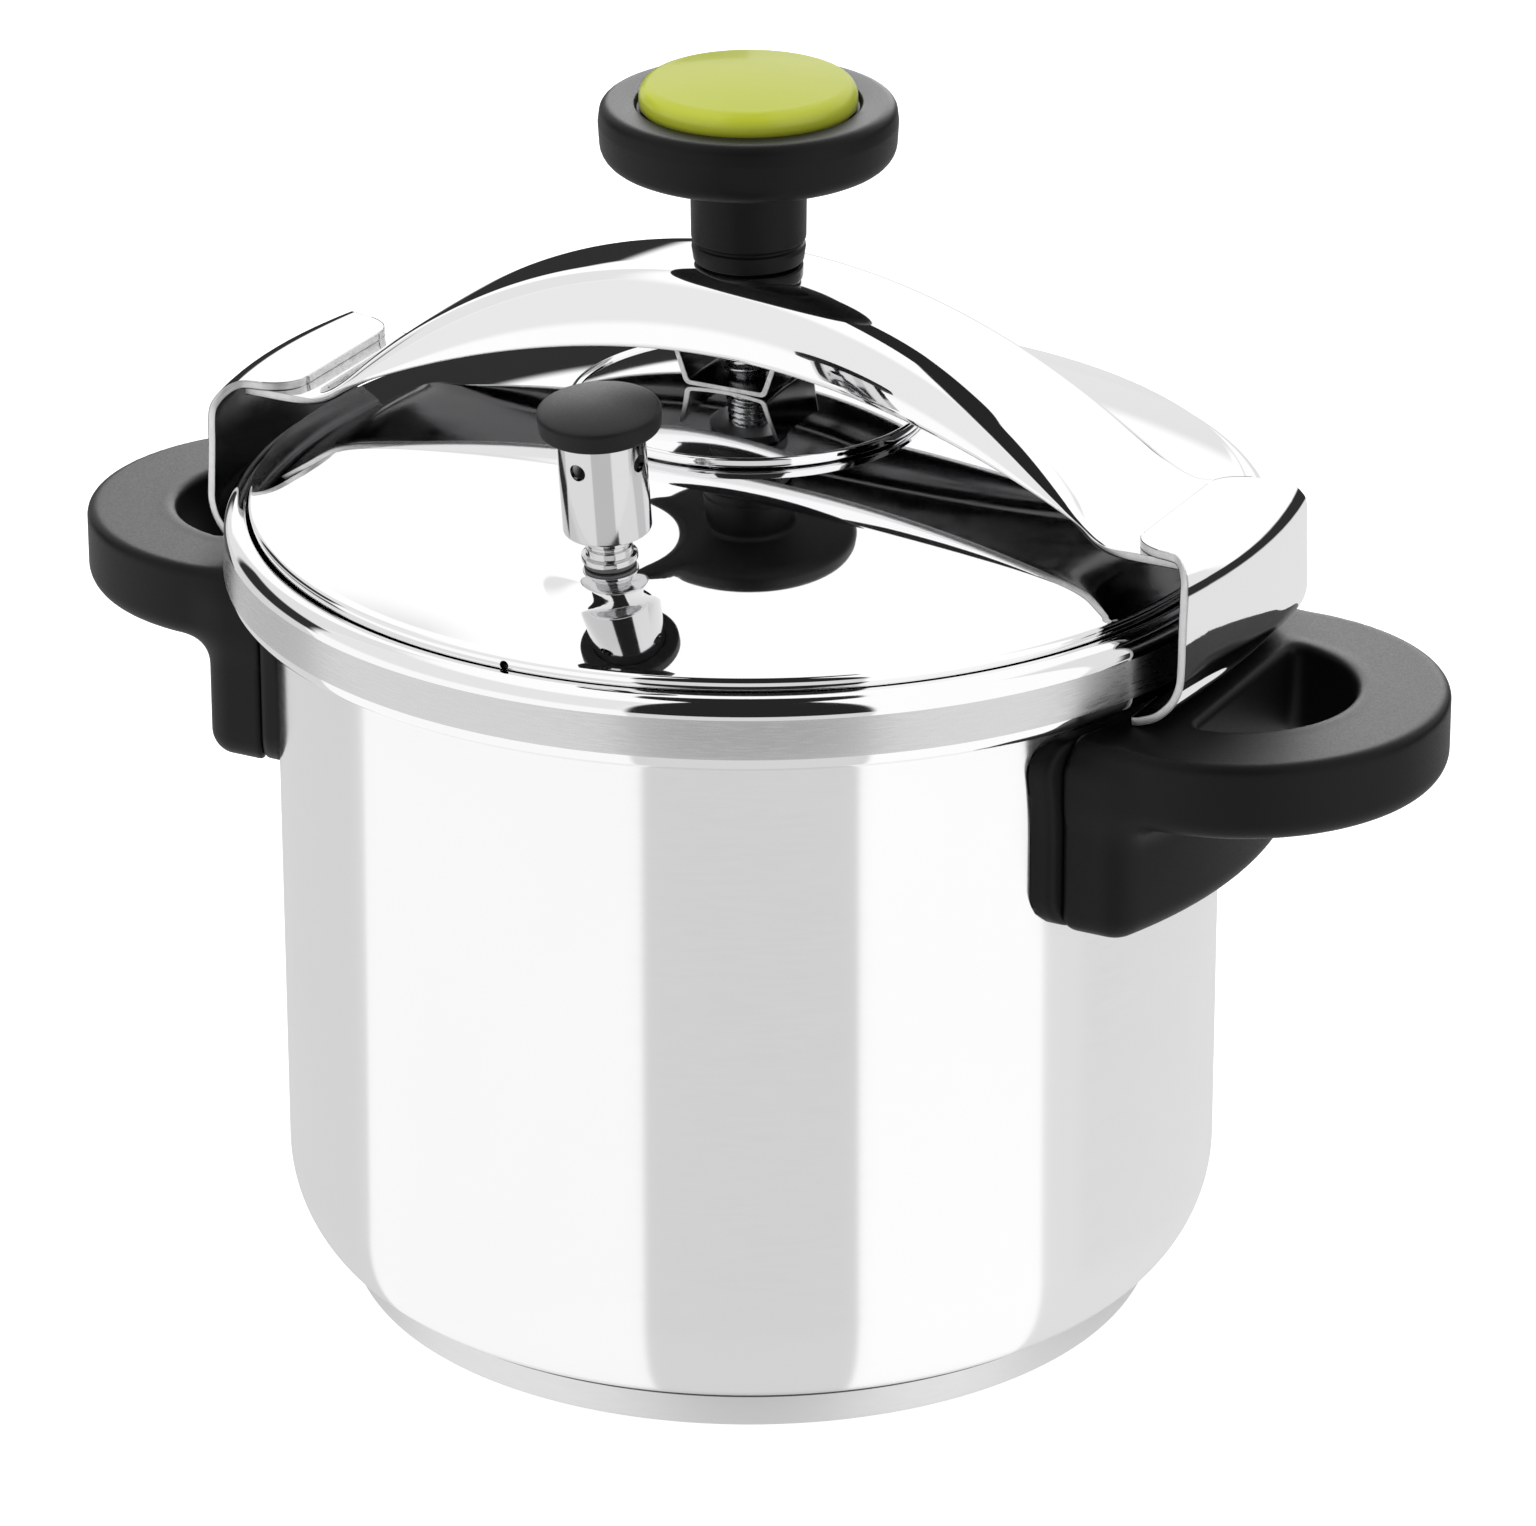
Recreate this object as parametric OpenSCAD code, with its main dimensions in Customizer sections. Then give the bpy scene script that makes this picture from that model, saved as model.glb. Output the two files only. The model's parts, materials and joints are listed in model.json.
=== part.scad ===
// Stovetop pressure cooker with a clamp bridge: pot, sealed lid, spring valve,
// sliding bridge with screw knob and pressure plate, and two side handles.
// Origin at the centre of the base, +Z up. The handles and the bridge lie along X,
// the valve stands on the -Y side.

/* [Pot] */
// Outer radius of the pot wall
pot_r = 111; // [110.5:0.1:111.2]
// Thickness of the pot wall
wall_t = 1; // [0.8:0.1:1.2]
// Height of the seam between pot and base
base_h = 10.6; // [9:0.1:12]

/* [Lid] */
// Height of the top of the lid
lid_top = 219.6; // [218.6:0.1:219.6]
// Radius of the lid's dome
dome_r = 300; // [298:1:302]
// Thickness of the lid sheet
lid_t = 1.2; // [1:0.1:1.4]

/* [Bridge] */
// Thickness of the bridge sheet
bridge_t = 2; // [1.6:0.1:2]
// Radius of the arch along its crest
arch_r = 140; // [139:0.5:141]
// Height of the crest of the arch
arch_top = 252.5; // [252:0.1:253]
// Depth of the channel at mid-span
channel_d = 17; // [14:1:18]

/* [Knob] */
// Radius of the knob's disc
knob_r = 34.5; // [33:0.5:36]
// Height of the bottom of the knob's stem
stem_z = 254.4; // [254.2:0.1:254.8]
// Radius of the screw spindle
spindle_r = 6; // [5.5:0.1:6.2]
// Running clearance of a turning shaft
run_gap = 0.05; // [0.03:0.01:0.08]

/* [Handles] */
// Distance of a handle's loop centre from the pot's axis
loop_x = 125; // [124.5:0.1:125.5]
// Outer radius of a handle's loop
loop_r = 49; // [47:0.5:50]
// Height of the top of the handles
grip_top = 171; // [170:0.1:171]
// Thickness of a handle's loop
grip_t = 19; // [16:0.5:20]

/* [Valve] */
// Position of the valve on the lid, X
valve_x = 8.2; // [6:0.1:10]
// Position of the valve on the lid, Y
valve_y = -82.3; // [-84:0.1:-80]
// Outward lean of the valve in degrees
valve_lean = 7; // [6:0.5:8]
// Radius of the valve's sleeve
sleeve_r = 10; // [10:0.1:11]

/* [Hidden] */

$fn = 96;
steel = [0.80, 0.81, 0.82];
dark_steel = [0.55, 0.56, 0.58];
bakelite = [0.07, 0.07, 0.08];
seal_grey = [0.30, 0.30, 0.31];

// Pot: corner ellipse between wall and base, then the rim ring's seat and skirt
corner_rx = 22.5;
corner_rz = 26.4;
corner_z = 33.1;
seam_r = 99.3;
seat_z = 186;
rim_top = 193.6;
rim_in_r = 117.2;
rim_r = 122.9;
rim_low = 176;
rim_t = 1.2;

// Base: steel cup around an aluminium core
cap_r = 98;
cap_foot_r = 93.8;
cap_t = 0.8;

// Lid: rolled edge and gasket
lid_edge_r = 116.6;
lid_roll_r = 4.6;
lid_skirt_z = 188;
dome_cz = lid_top - dome_r;

// Valve: heights along its own axis, from the lid's surface
neck_r = 5.3;
sleeve_low = 8.4;
sleeve_top = 37;
sleeve_t = 1.2;
sleeve_floor = 3;
port_s = 27.4;
port_r = 2;
port_turn = -5;
cap_low = 34.2;
valve_cap_r = 14;
valve_cap_side = 4;
jet_top = 22;
plunger_gap = 0.1;
valve_r = norm([valve_x, valve_y]);
valve_z = dome_cz + sqrt(dome_r * dome_r - valve_r * valve_r);

// Bridge: size of the arch's circle, then the hooks' top, face and lip
arch_end = 44;
arch_cz = arch_top - arch_r;
hook_z = 211;
hook_x = 131;
lip_end = [113.5, 171.4];

// Pressure plate and its yoke
plate_r = 42;
plate_z = 220;
yoke_z = 224.4;
yoke_t = 1.4;
yoke_w = 24;
clip_r = 6.6;
ring_out_r = 10;
ring_seat = 1.8;

// Handles
saddle_r = 115.5;
slab_r = 129.5;
slab_w = 49;
slab_low = 123.4;
hole_r = 27.5;
hole_x = 127;
pocket_r = 120.5;
pocket_w = 33;
pocket_z = 160;
lug_w = 9;
lug_low = 138;
lug_h = 6;
screw_x = 122;
screw_r = 3;
screw_gap = 0.3;

// Points of an ellipse's arc about [cx, cz], from angle a0 to a1
function arc(cx, cz, rx, rz, a0, a1, n) =
    [for (i = [0 : n]) let (a = a0 + (a1 - a0) * i / n) [cx + rx * cos(a), cz + rz * sin(a)]];

// Points of the lid's dome at radius r_dome, from the axis out to radius r1
function dome(r_dome, r1, n) =
    [for (i = [0 : n]) let (r = r1 * i / n) [r, dome_cz + sqrt(r_dome * r_dome - r * r)]];

// Points of a shallow domed top that rises from radius r_edge to the axis
function crown(r_edge, z_edge, rise, n) =
    let (ball = (r_edge * r_edge + rise * rise) / (2 * rise))
    [for (i = [0 : n]) let (r = r_edge * (1 - i / n))
        [r, z_edge + rise - ball + sqrt(ball * ball - r * r)]];

function reversed(v) = [for (i = [len(v) - 1 : -1 : 0]) v[i]];

// ---- Pot ----

module pot_body() {
    corner_cx = pot_r - corner_rx;
    seam_a = -acos((seam_r + 1.8 - corner_cx) / corner_rx);
    inner_low = base_h + wall_t;
    inner_a = -asin((corner_z - inner_low) / (corner_rz - wall_t)) + 1;
    color(steel)
    rotate_extrude()
    polygon(concat(
        [[0, base_h], [seam_r, base_h]],
        arc(corner_cx, corner_z, corner_rx, corner_rz, seam_a, 0, 8),
        [[pot_r, seat_z - rim_t], [pot_r - wall_t, seat_z - rim_t]],
        arc(corner_cx, corner_z, corner_rx - wall_t, corner_rz - wall_t, 0, inner_a, 8),
        [[0, inner_low]]));
}

// Ring on the wall's top edge: a seat for the gasket, a shoulder and a hollow skirt
module pot_rim() {
    shoulder_z = 188.9;
    skirt_z = 180.5;
    skirt_low_r = 119.6;
    color(steel)
    rotate_extrude()
    polygon(concat(
        [[pot_r - wall_t, seat_z - rim_t], [rim_in_r + rim_t, seat_z - rim_t]],
        [[rim_in_r + rim_t, rim_top - rim_t - 0.2]],
        arc(rim_in_r + 1.4, shoulder_z, 2.7, 3.5, 80, 0, 5),
        arc(skirt_low_r, skirt_z, 2.1, 3.3, 0, -90, 5),
        [[skirt_low_r, rim_low]],
        arc(skirt_low_r, skirt_z, rim_r - skirt_low_r, skirt_z - rim_low, -80, 0, 6),
        arc(rim_in_r + rim_t, shoulder_z, 4.1, rim_top - shoulder_z, 0, 90, 8),
        [[rim_in_r + 0.4, rim_top - 0.2], [rim_in_r, rim_top - 0.6], [rim_in_r, seat_z]],
        [[pot_r - wall_t, seat_z]]));
}

// Rounded lower corner of the core, which is also the inside of the cup
function core_corner() = let (r = cap_foot_r - 0.3)
    arc(r, base_h, cap_r - r - cap_t, base_h - cap_t, -80, 0, 6);

module base_core() {
    color([0.72, 0.72, 0.70])
    rotate_extrude()
    polygon(concat(
        [[0, cap_t], [cap_foot_r - 0.3, cap_t]],
        core_corner(),
        [[0, base_h]]));
}

module base_cap() {
    color([0.84, 0.84, 0.85])
    rotate_extrude()
    polygon(concat(
        [[0, 0], [cap_foot_r, 0]],
        arc(cap_foot_r, base_h, cap_r - cap_foot_r, base_h, -80, 0, 8),
        [[cap_r - cap_t, base_h]],
        reversed(core_corner()),
        [[cap_foot_r - 0.3, cap_t], [0, cap_t]]));
}

// ---- Handles: each part is drawn on the +X side and turned for the other side ----

module ring_sector(r_in, r_out, half_w, z0, z1) {
    translate([0, 0, z0])
    intersection() {
        difference() {
            cylinder(h = z1 - z0, r = r_out);
            translate([0, 0, -1]) cylinder(h = z1 - z0 + 2, r = r_in);
        }
        translate([r_in * 0.5, -half_w, -1]) cube([r_out, 2 * half_w, z1 - z0 + 2]);
    }
}

module bracket() {
    color(dark_steel)
    difference() {
        union() {
            ring_sector(pot_r, pot_r + 2, 20, 132, 150);
            translate([pot_r + 1.5, -lug_w, lug_low]) cube([screw_x + 4.5 - pot_r - 1.5, 2 * lug_w, lug_h]);
        }
        translate([screw_x, 0, lug_low - 1]) cylinder(h = lug_h + 2, r = screw_r);
        cylinder(h = lug_low + lug_h + 1, r = pot_r);
    }
}

module saddle() {
    color([0.06, 0.06, 0.065])
    difference() {
        ring_sector(pot_r, saddle_r, slab_w + 1.5, slab_low + 0.5, grip_top - 0.5);
        translate([pot_r * 0.5, -pocket_w, pocket_z]) cube([pot_r, 2 * pocket_w, 20]);
        ring_sector(pot_r - 1, pot_r + 2, 20.4, 131.6, 150.4);
        translate([pot_r, -lug_w - 0.4, lug_low - 0.4]) cube([10, 2 * lug_w + 0.8, lug_h + 0.8]);
    }
}

module grip() {
    color(bakelite)
    difference() {
        union() {
            translate([loop_x, 0, grip_top - grip_t]) cylinder(h = grip_t, r = loop_r);
            ring_sector(saddle_r, slab_r, slab_w, slab_low, grip_top - 1);
        }
        cylinder(h = grip_top + 5, r = saddle_r);
        // D-shaped finger hole with its straight side towards the pot
        intersection() {
            translate([loop_x, 0, pocket_z - 10]) cylinder(h = 30, r = hole_r);
            translate([hole_x, -hole_r, pocket_z - 10]) cube([2 * hole_r, 2 * hole_r, 30]);
        }
        // Pocket behind the bridge's hook
        translate([0, 0, pocket_z])
        intersection() {
            cylinder(h = 20, r = pocket_r);
            translate([pot_r * 0.5, -pocket_w, 0]) cube([pot_r, 2 * pocket_w, 20]);
        }
        // Slot for the bracket's lug, hole and counterbore for the screw
        translate([pot_r, -lug_w - 0.4, lug_low - 0.4])
            cube([screw_x + 5 - pot_r, 2 * lug_w + 0.8, lug_h + 0.8]);
        translate([screw_x, 0, slab_low - 1]) cylinder(h = lug_low - slab_low + 2, r = screw_r + screw_gap);
        translate([screw_x, 0, slab_low - 1]) cylinder(h = 7, r = 5.5);
    }
}

module handle_screw() {
    translate([screw_x, 0, slab_low + 6]) cylinder(h = lug_low + lug_h - slab_low - 6, r = screw_r);
    difference() {
        translate([screw_x, 0, slab_low + 2.5]) cylinder(h = 3.5, r = 5);
        translate([screw_x - 6, -0.6, slab_low + 2.4]) cube([12, 1.2, 1.4]);
    }
}

module bracket_right() bracket();
module bracket_left() rotate([0, 0, 180]) bracket();
module saddle_right() saddle();
module saddle_left() rotate([0, 0, 180]) saddle();
module grip_right() grip();
module grip_left() rotate([0, 0, 180]) grip();
module handle_screws() {
    color(dark_steel)
    for (turn = [0, 180])
        rotate([0, 0, turn]) handle_screw();
}

// ---- Lid ----

// Puts what follows on the valve's own axis, with its origin on the lid's surface
module on_valve() {
    translate([valve_x, valve_y, valve_z]) rotate([valve_lean, 0, 0]) children();
}

module lid_shell() {
    roll_cx = lid_edge_r - lid_roll_r;
    roll_cz = dome_cz + sqrt(dome_r * dome_r - roll_cx * roll_cx) - lid_roll_r;
    color(steel)
    difference() {
        rotate_extrude()
        polygon(concat(
            dome(dome_r, roll_cx, 20),
            arc(roll_cx, roll_cz, lid_roll_r, lid_roll_r, 78, 0, 6),
            [[lid_edge_r, lid_skirt_z], [lid_edge_r - lid_t, lid_skirt_z]],
            arc(roll_cx, roll_cz, lid_roll_r - lid_t, lid_roll_r - lid_t, 0, 78, 6),
            reversed(dome(dome_r - lid_t, roll_cx - 0.2, 20))));
        on_valve() translate([0, 0, -10]) cylinder(h = 20, r = 5.1);
        // Safety window in the lid's rolled edge
        translate([0, -lid_edge_r + 4, 194.4]) rotate([90, 0, 0]) cylinder(h = 8, r = 1.1);
    }
}

module lid_gasket() {
    color(seal_grey)
    rotate_extrude()
    polygon([[110.8, seat_z], [115.2, seat_z], [115.2, 192.6], [114.2, 193.6],
             [112.6, 193.2], [112.2, 190], [110.8, 188.4]]);
}

module valve_stem() {
    color(steel)
    on_valve()
    rotate_extrude()
    polygon([[1.6, -14], [4.6, -14], [5, -13.6], [5, 1.6], [6.4, 1.6], [6.4, 2.6], [neck_r, 3.2],
             [neck_r, 4.8], [neck_r - 0.7, 5.1], [neck_r - 0.7, 5.7], [neck_r, 6], [neck_r, 8],
             [neck_r - 0.3, 8.3], [3.6, 8.3], [3.6, 20], [2.6, jet_top], [1.6, jet_top]]);
}

// Seal between the stem's shoulder and the outside of the lid
module valve_washer() {
    color(seal_grey)
    difference() {
        on_valve()
        difference() {
            translate([0, 0, -3]) cylinder(h = 4.6, r = 8.2);
            translate([0, 0, -4]) cylinder(h = 8, r = 5);
        }
        rotate_extrude()
        polygon(concat(dome(dome_r, 112, 20), [[112, 150], [0, 150]]));
    }
}

// Seal between the nut and the inside of the lid
module inner_washer() {
    color(seal_grey)
    intersection() {
        on_valve()
        difference() {
            translate([0, 0, -5]) cylinder(h = 7, r = 8.2);
            translate([0, 0, -6]) cylinder(h = 9, r = 5);
        }
        rotate_extrude()
        polygon(concat(dome(dome_r - lid_t, 110, 20), [[110, 150], [0, 150]]));
    }
}

module valve_nut() {
    color(dark_steel)
    on_valve()
    difference() {
        translate([0, 0, -10.5]) cylinder(h = 5.5, r = 9.2, $fn = 6);
        translate([0, 0, -11]) cylinder(h = 7, r = 5);
    }
}

// ---- Valve ----

module valve_sleeve() {
    color(steel)
    on_valve()
    difference() {
        translate([0, 0, sleeve_low]) cylinder(h = sleeve_top - sleeve_low, r = sleeve_r);
        translate([0, 0, sleeve_low - 1]) cylinder(h = 10, r = 3.6 + run_gap);
        translate([0, 0, sleeve_low + sleeve_floor]) cylinder(h = 40, r = sleeve_r - sleeve_t);
        for (turn = [0 : 90 : 270])
            translate([0, 0, port_s])
            rotate([0, 90, port_turn + turn])
            cylinder(h = sleeve_r + 2, r = port_r);
    }
}

module valve_cap() {
    cap_mid = cap_low + valve_cap_side;
    color(bakelite)
    on_valve()
    rotate_extrude()
    polygon(concat(
        [[sleeve_r, cap_low], [valve_cap_r - 0.6, cap_low]],
        [[valve_cap_r, cap_low + 0.6], [valve_cap_r, cap_mid]],
        arc(valve_cap_r - 1.2, cap_mid, 1.2, 1, 30, 90, 3),
        crown(valve_cap_r - 1.2, cap_mid + 1, 1.6, 6),
        [[0, sleeve_top], [sleeve_r, sleeve_top]]));
}

module valve_plunger() {
    low = jet_top + plunger_gap;
    color(dark_steel)
    on_valve()
    rotate_extrude()
    polygon([[0, low], [8.4, low], [8.8, low + 0.4], [8.8, low + 2.6], [8.4, low + 3],
             [2.5, low + 3], [2.5, 32.5], [0, 32.5]]);
}

module valve_spring() {
    spring_low = jet_top + plunger_gap + 3;
    color(dark_steel)
    on_valve()
    difference() {
        translate([0, 0, spring_low]) cylinder(h = sleeve_top - spring_low, r = 6.5);
        translate([0, 0, jet_top]) cylinder(h = 20, r = 5);
    }
}

// ---- Bridge: bent sheets swept along their own outlines ----

function blend(a, b, t) = a + (b - a) * t;

// A station is [x, z, half width, channel depth, flat share of the width, outward bulge]
arch_stations = [for (i = [0 : 11]) let (a = arch_end * i / 11, f = pow(a / 46, 2.3))
    [arch_r * sin(a), arch_cz + arch_r * cos(a),
     blend(20, 23.5, f), channel_d * (1 - f), blend(0.45, 0.75, f), 0]];
arch_foot_z = hook_z - bridge_t - 0.03;
foot_stations = [
    [100.4, 210.9, 24, 1.3, 0.75, 0], [103.4, 209.5, 24.4, 0.8, 0.75, 0],
    [106.8, arch_foot_z + 0.1, 24.8, 0.3, 0.75, 0], [111, arch_foot_z, 25, 0.02, 0.75, 0],
    [122, arch_foot_z, 25, 0.02, 0.75, 0]];
half_arch = concat(arch_stations, foot_stations);

function mirrored(s) = [-s[0], s[1], s[2], s[3], s[4], s[5]];
arch_path = concat([for (i = [len(half_arch) - 1 : -1 : 1]) mirrored(half_arch[i])], half_arch);

hook_path = [
    [109, hook_z, 20, 0, 0.75, 0], [109.8, hook_z, 22.6, 0, 0.75, 0], [111.5, hook_z, 24.6, 0, 0.75, 0],
    [114, hook_z, 25.5, 0, 0.75, 0], [119, hook_z, 25.8, 0, 0.75, 0.4], [124, hook_z - 0.1, 27, 0, 0.75, 2],
    [hook_x - 3.4, hook_z - 1.2, 29, 0, 0.75, 3.2], [hook_x - 1, hook_z - 3.6, 31, 0, 0.75, 3.6],
    [hook_x, hook_z - 7, 32.5, 0, 0.75, 3.7], [hook_x, 196, 33, 0, 0.75, 3.7],
    [hook_x, 187, 33.5, 0, 0.75, 3.6], [hook_x - 0.6, 182, 34, 0, 0.75, 3.3],
    [hook_x - 3.6, 177.6, 34.5, 0, 0.75, 2.2], [122.6, 174, 35, 0, 0.75, 1],
    [117.8, 172.2, 35, 0, 0.75, 0.3], [lip_end[0], lip_end[1], 35, 0, 0.75, 0]];

function unit(v) = v / norm(v);
function tangent(path, i) = let (a = path[max(i - 1, 0)], b = path[min(i + 1, len(path) - 1)])
    unit([b[0] - a[0], b[1] - a[1]]);

// The section's outer line: a flat crest, then a quarter ellipse down each side
side_steps = 4;
section_turns = concat(
    [for (k = [side_steps : -1 : 0]) [-1, 90 * k / side_steps]],
    [[0, 0]],
    [for (k = [0 : side_steps]) [1, 90 * k / side_steps]]);

function section_point(s, j, inner) =
    let (side = section_turns[j][0], turn = section_turns[j][1],
         w = s[2], d = s[3], u0 = s[4], a = (1 - u0) * w,
         y = side * (u0 * w + a * sin(turn)), drop = d * (1 - cos(turn)),
         n = unit([side * d * sin(turn), a * cos(turn) + 1]),
         crown = 0.5 * (1 - pow(y / w, 2)) * min(1, d / 8))
    inner ? [y - bridge_t * n[0], -drop + crown - bridge_t * n[1]] : [y, -drop + crown];

// Places a section's point on station i of a path
function sheet_point(path, i, j, inner) =
    let (s = path[i], t = tangent(path, i), p = section_point(s, j, inner),
         bulge = s[5] * pow(p[0] / s[2], 2), out = s[0] > 0 ? 1 : -1)
    [s[0] - t[1] * p[1] - out * bulge, p[0], s[1] + t[0] * p[1]];

module bent_sheet(path) {
    m = len(section_turns);
    n = len(path);
    ring = 2 * m;
    points = [for (i = [0 : n - 1]) for (k = [0 : ring - 1])
        k < m ? sheet_point(path, i, k, false) : sheet_point(path, i, ring - 1 - k, true)];
    sides = [for (i = [0 : n - 2]) for (k = [0 : ring - 1])
        let (l = (k + 1) % ring, a = i * ring, b = (i + 1) * ring)
        each [[a + k, a + l, b + l], [a + k, b + l, b + k]]];
    first = [for (k = [0 : m - 2]) each [[k, ring - 1 - k, ring - 2 - k], [k, ring - 2 - k, k + 1]]];
    last = [for (k = [0 : m - 2]) let (o = (n - 1) * ring)
        each [[o + k, o + ring - 2 - k, o + ring - 1 - k], [o + k, o + k + 1, o + ring - 2 - k]]];
    polyhedron(points = points, faces = concat(sides, first, last));
}

module bridge_arch() {
    color(steel)
    difference() {
        bent_sheet(arch_path);
        translate([0, 0, arch_top - 10]) cylinder(h = 20, r = 9);
    }
}

// Hook welded on the foot of the arch, bent down and under the rim
module hook() {
    color(steel)
    bent_sheet(hook_path);
}
module hook_right() hook();
module hook_left() rotate([0, 0, 180]) hook();

module spindle_bush() {
    color(dark_steel)
    difference() {
        union() {
            translate([0, 0, 244]) cylinder(h = 5.6, r = 11.5);
            translate([0, 0, 249]) cylinder(h = 4.6, r = 9);
        }
        translate([0, 0, 243]) cylinder(h = 12, r = spindle_r + run_gap);
    }
}

// ---- Pressure plate ----

module pressure_plate() {
    color(steel)
    rotate_extrude()
    polygon(concat(
        [[0, plate_z], [plate_r - 1.65, plate_z]],
        arc(plate_r - 1.65, plate_z + 1.65, 1.65, 1.65, -75, 90, 8),
        [[plate_r - 3, plate_z + 3], [plate_r - 12, plate_z + 2.2]],
        [[ring_out_r + 1, plate_z + ring_seat], [0, plate_z + ring_seat]]));
}

module thrust_ring() {
    color(dark_steel)
    translate([0, 0, plate_z + ring_seat])
    difference() {
        cylinder(h = yoke_z - plate_z - ring_seat, r = ring_out_r);
        translate([0, 0, -1]) cylinder(h = 6, r = clip_r + 0.4);
    }
}

// Trapezoid strap whose wings run up between the bridge's flanges
module plate_yoke() {
    low_x = 10.5;
    high_x = 15.5;
    top_z = 239;
    color(steel)
    difference() {
        rotate([90, 0, 0])
        translate([0, 0, -yoke_w / 2])
        linear_extrude(height = yoke_w)
        polygon([[-high_x, top_z], [-low_x, yoke_z + 1], [-low_x + 1, yoke_z], [low_x - 1, yoke_z],
                 [low_x, yoke_z + 1], [high_x, top_z], [high_x - yoke_t, top_z],
                 [low_x - yoke_t, yoke_z + yoke_t + 0.4], [low_x - yoke_t - 0.4, yoke_z + yoke_t],
                 [-low_x + yoke_t + 0.4, yoke_z + yoke_t], [-low_x + yoke_t, yoke_z + yoke_t + 0.4],
                 [-high_x + yoke_t, top_z]]);
        translate([0, 0, yoke_z - 1]) cylinder(h = 4, r = 4.5 + run_gap);
    }
}

// ---- Screw and knob ----

module spindle() {
    color(steel)
    rotate_extrude()
    polygon([[0, plate_z + 2], [3, plate_z + 2], [3.8, plate_z + 2.6], [3.8, plate_z + 4.2],
             [4.5, plate_z + 4.2], [4.5, yoke_z + yoke_t + 0.2], [spindle_r - 0.6, yoke_z + yoke_t + 0.2],
             [spindle_r, yoke_z + yoke_t + 0.8], [spindle_r, 272],
             [4, 272], [4, 288], [3.4, 288.6], [0, 288.6]]);
}

module spindle_clip() {
    color(dark_steel)
    translate([0, 0, plate_z + 3])
    difference() {
        cylinder(h = 1.1, r = clip_r);
        translate([0, 0, -1]) cylinder(h = 3, r = 3.8);
        translate([2, -1.2, -1]) cube([8, 2.4, 3]);
    }
}

module knob() {
    color(bakelite)
    rotate_extrude()
    polygon(concat(
        [[spindle_r, stem_z], [12.6, stem_z], [13.1, stem_z + 0.5], [13.1, stem_z + 2.6],
         [12.8, stem_z + 3], [12.8, stem_z + 3.4], [13.3, stem_z + 3.8]],
        [[13.5, 275]], arc(16, 275, 2.5, 1.7, 180, 90, 4),
        arc(knob_r - 8, 284.7, 8, 8, -90, 0, 8),
        arc(knob_r - 2.6, 288.7, 2.6, 2.6, 10, 90, 5),
        [[25.5, 290.9], [25.5, 289.6], [10, 289.6], [10, 281], [4, 281], [4, 272], [spindle_r, 272]]));
}

module knob_washer() {
    color(dark_steel)
    translate([0, 0, 281])
    difference() {
        cylinder(h = 1.2, r = 8);
        translate([0, 0, -1]) cylinder(h = 4, r = 4);
    }
}

module knob_nut() {
    color(dark_steel)
    translate([0, 0, 282.2])
    difference() {
        cylinder(h = 5, r = 7.4, $fn = 6);
        translate([0, 0, -1]) cylinder(h = 8, r = 4);
    }
}

module knob_cap() {
    color([0.72, 0.80, 0.13])
    rotate_extrude()
    polygon(concat(
        [[0, 289.6], [24.4, 289.6], [25.1, 290.3], [25.1, 293]],
        arc(22.6, 293, 2.5, 2.9, 0, 75, 6),
        crown(22.6, 295.9, 1.6, 6)));
}

pot_body();
pot_rim();
base_core();
base_cap();
bracket_right();
bracket_left();
saddle_right();
saddle_left();
grip_right();
grip_left();
handle_screws();
lid_shell();
lid_gasket();
valve_stem();
valve_washer();
inner_washer();
valve_nut();
valve_sleeve();
valve_cap();
valve_plunger();
valve_spring();
bridge_arch();
hook_right();
hook_left();
spindle_bush();
pressure_plate();
plate_yoke();
thrust_ring();
spindle();
spindle_clip();
knob();
knob_washer();
knob_nut();
knob_cap();
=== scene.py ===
"""Looks of a stovetop pressure cooker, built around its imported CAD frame. Metres, +Z up.

Sizes in the tables below are in millimetres in the CAD's own frame; MM turns them into metres.
"""

import json
import math

import bmesh
import bpy
import numpy as np
from mathutils import Matrix, Vector

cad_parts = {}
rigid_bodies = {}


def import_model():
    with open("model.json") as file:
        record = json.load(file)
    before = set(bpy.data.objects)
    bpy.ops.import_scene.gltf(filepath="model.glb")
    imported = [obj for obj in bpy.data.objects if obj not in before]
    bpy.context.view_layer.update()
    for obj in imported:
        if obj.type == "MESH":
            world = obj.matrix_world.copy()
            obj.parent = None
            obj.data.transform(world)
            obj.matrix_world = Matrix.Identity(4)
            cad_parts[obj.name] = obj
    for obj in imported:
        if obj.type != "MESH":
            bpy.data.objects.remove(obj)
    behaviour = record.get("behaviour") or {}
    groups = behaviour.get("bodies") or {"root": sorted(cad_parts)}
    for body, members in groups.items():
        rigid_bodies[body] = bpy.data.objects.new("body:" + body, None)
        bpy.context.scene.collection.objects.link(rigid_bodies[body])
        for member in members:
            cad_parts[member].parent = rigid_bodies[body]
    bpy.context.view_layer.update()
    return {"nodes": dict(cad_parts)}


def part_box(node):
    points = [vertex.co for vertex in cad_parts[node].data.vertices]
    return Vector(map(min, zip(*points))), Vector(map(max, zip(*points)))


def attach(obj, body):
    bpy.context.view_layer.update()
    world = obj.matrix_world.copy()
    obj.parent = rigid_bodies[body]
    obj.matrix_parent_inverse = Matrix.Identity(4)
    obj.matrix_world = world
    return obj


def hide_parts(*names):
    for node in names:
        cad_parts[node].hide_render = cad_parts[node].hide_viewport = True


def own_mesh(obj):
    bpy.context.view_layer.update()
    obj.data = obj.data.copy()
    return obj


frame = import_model()

MM = 0.001
TURN = 2 * math.pi


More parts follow.
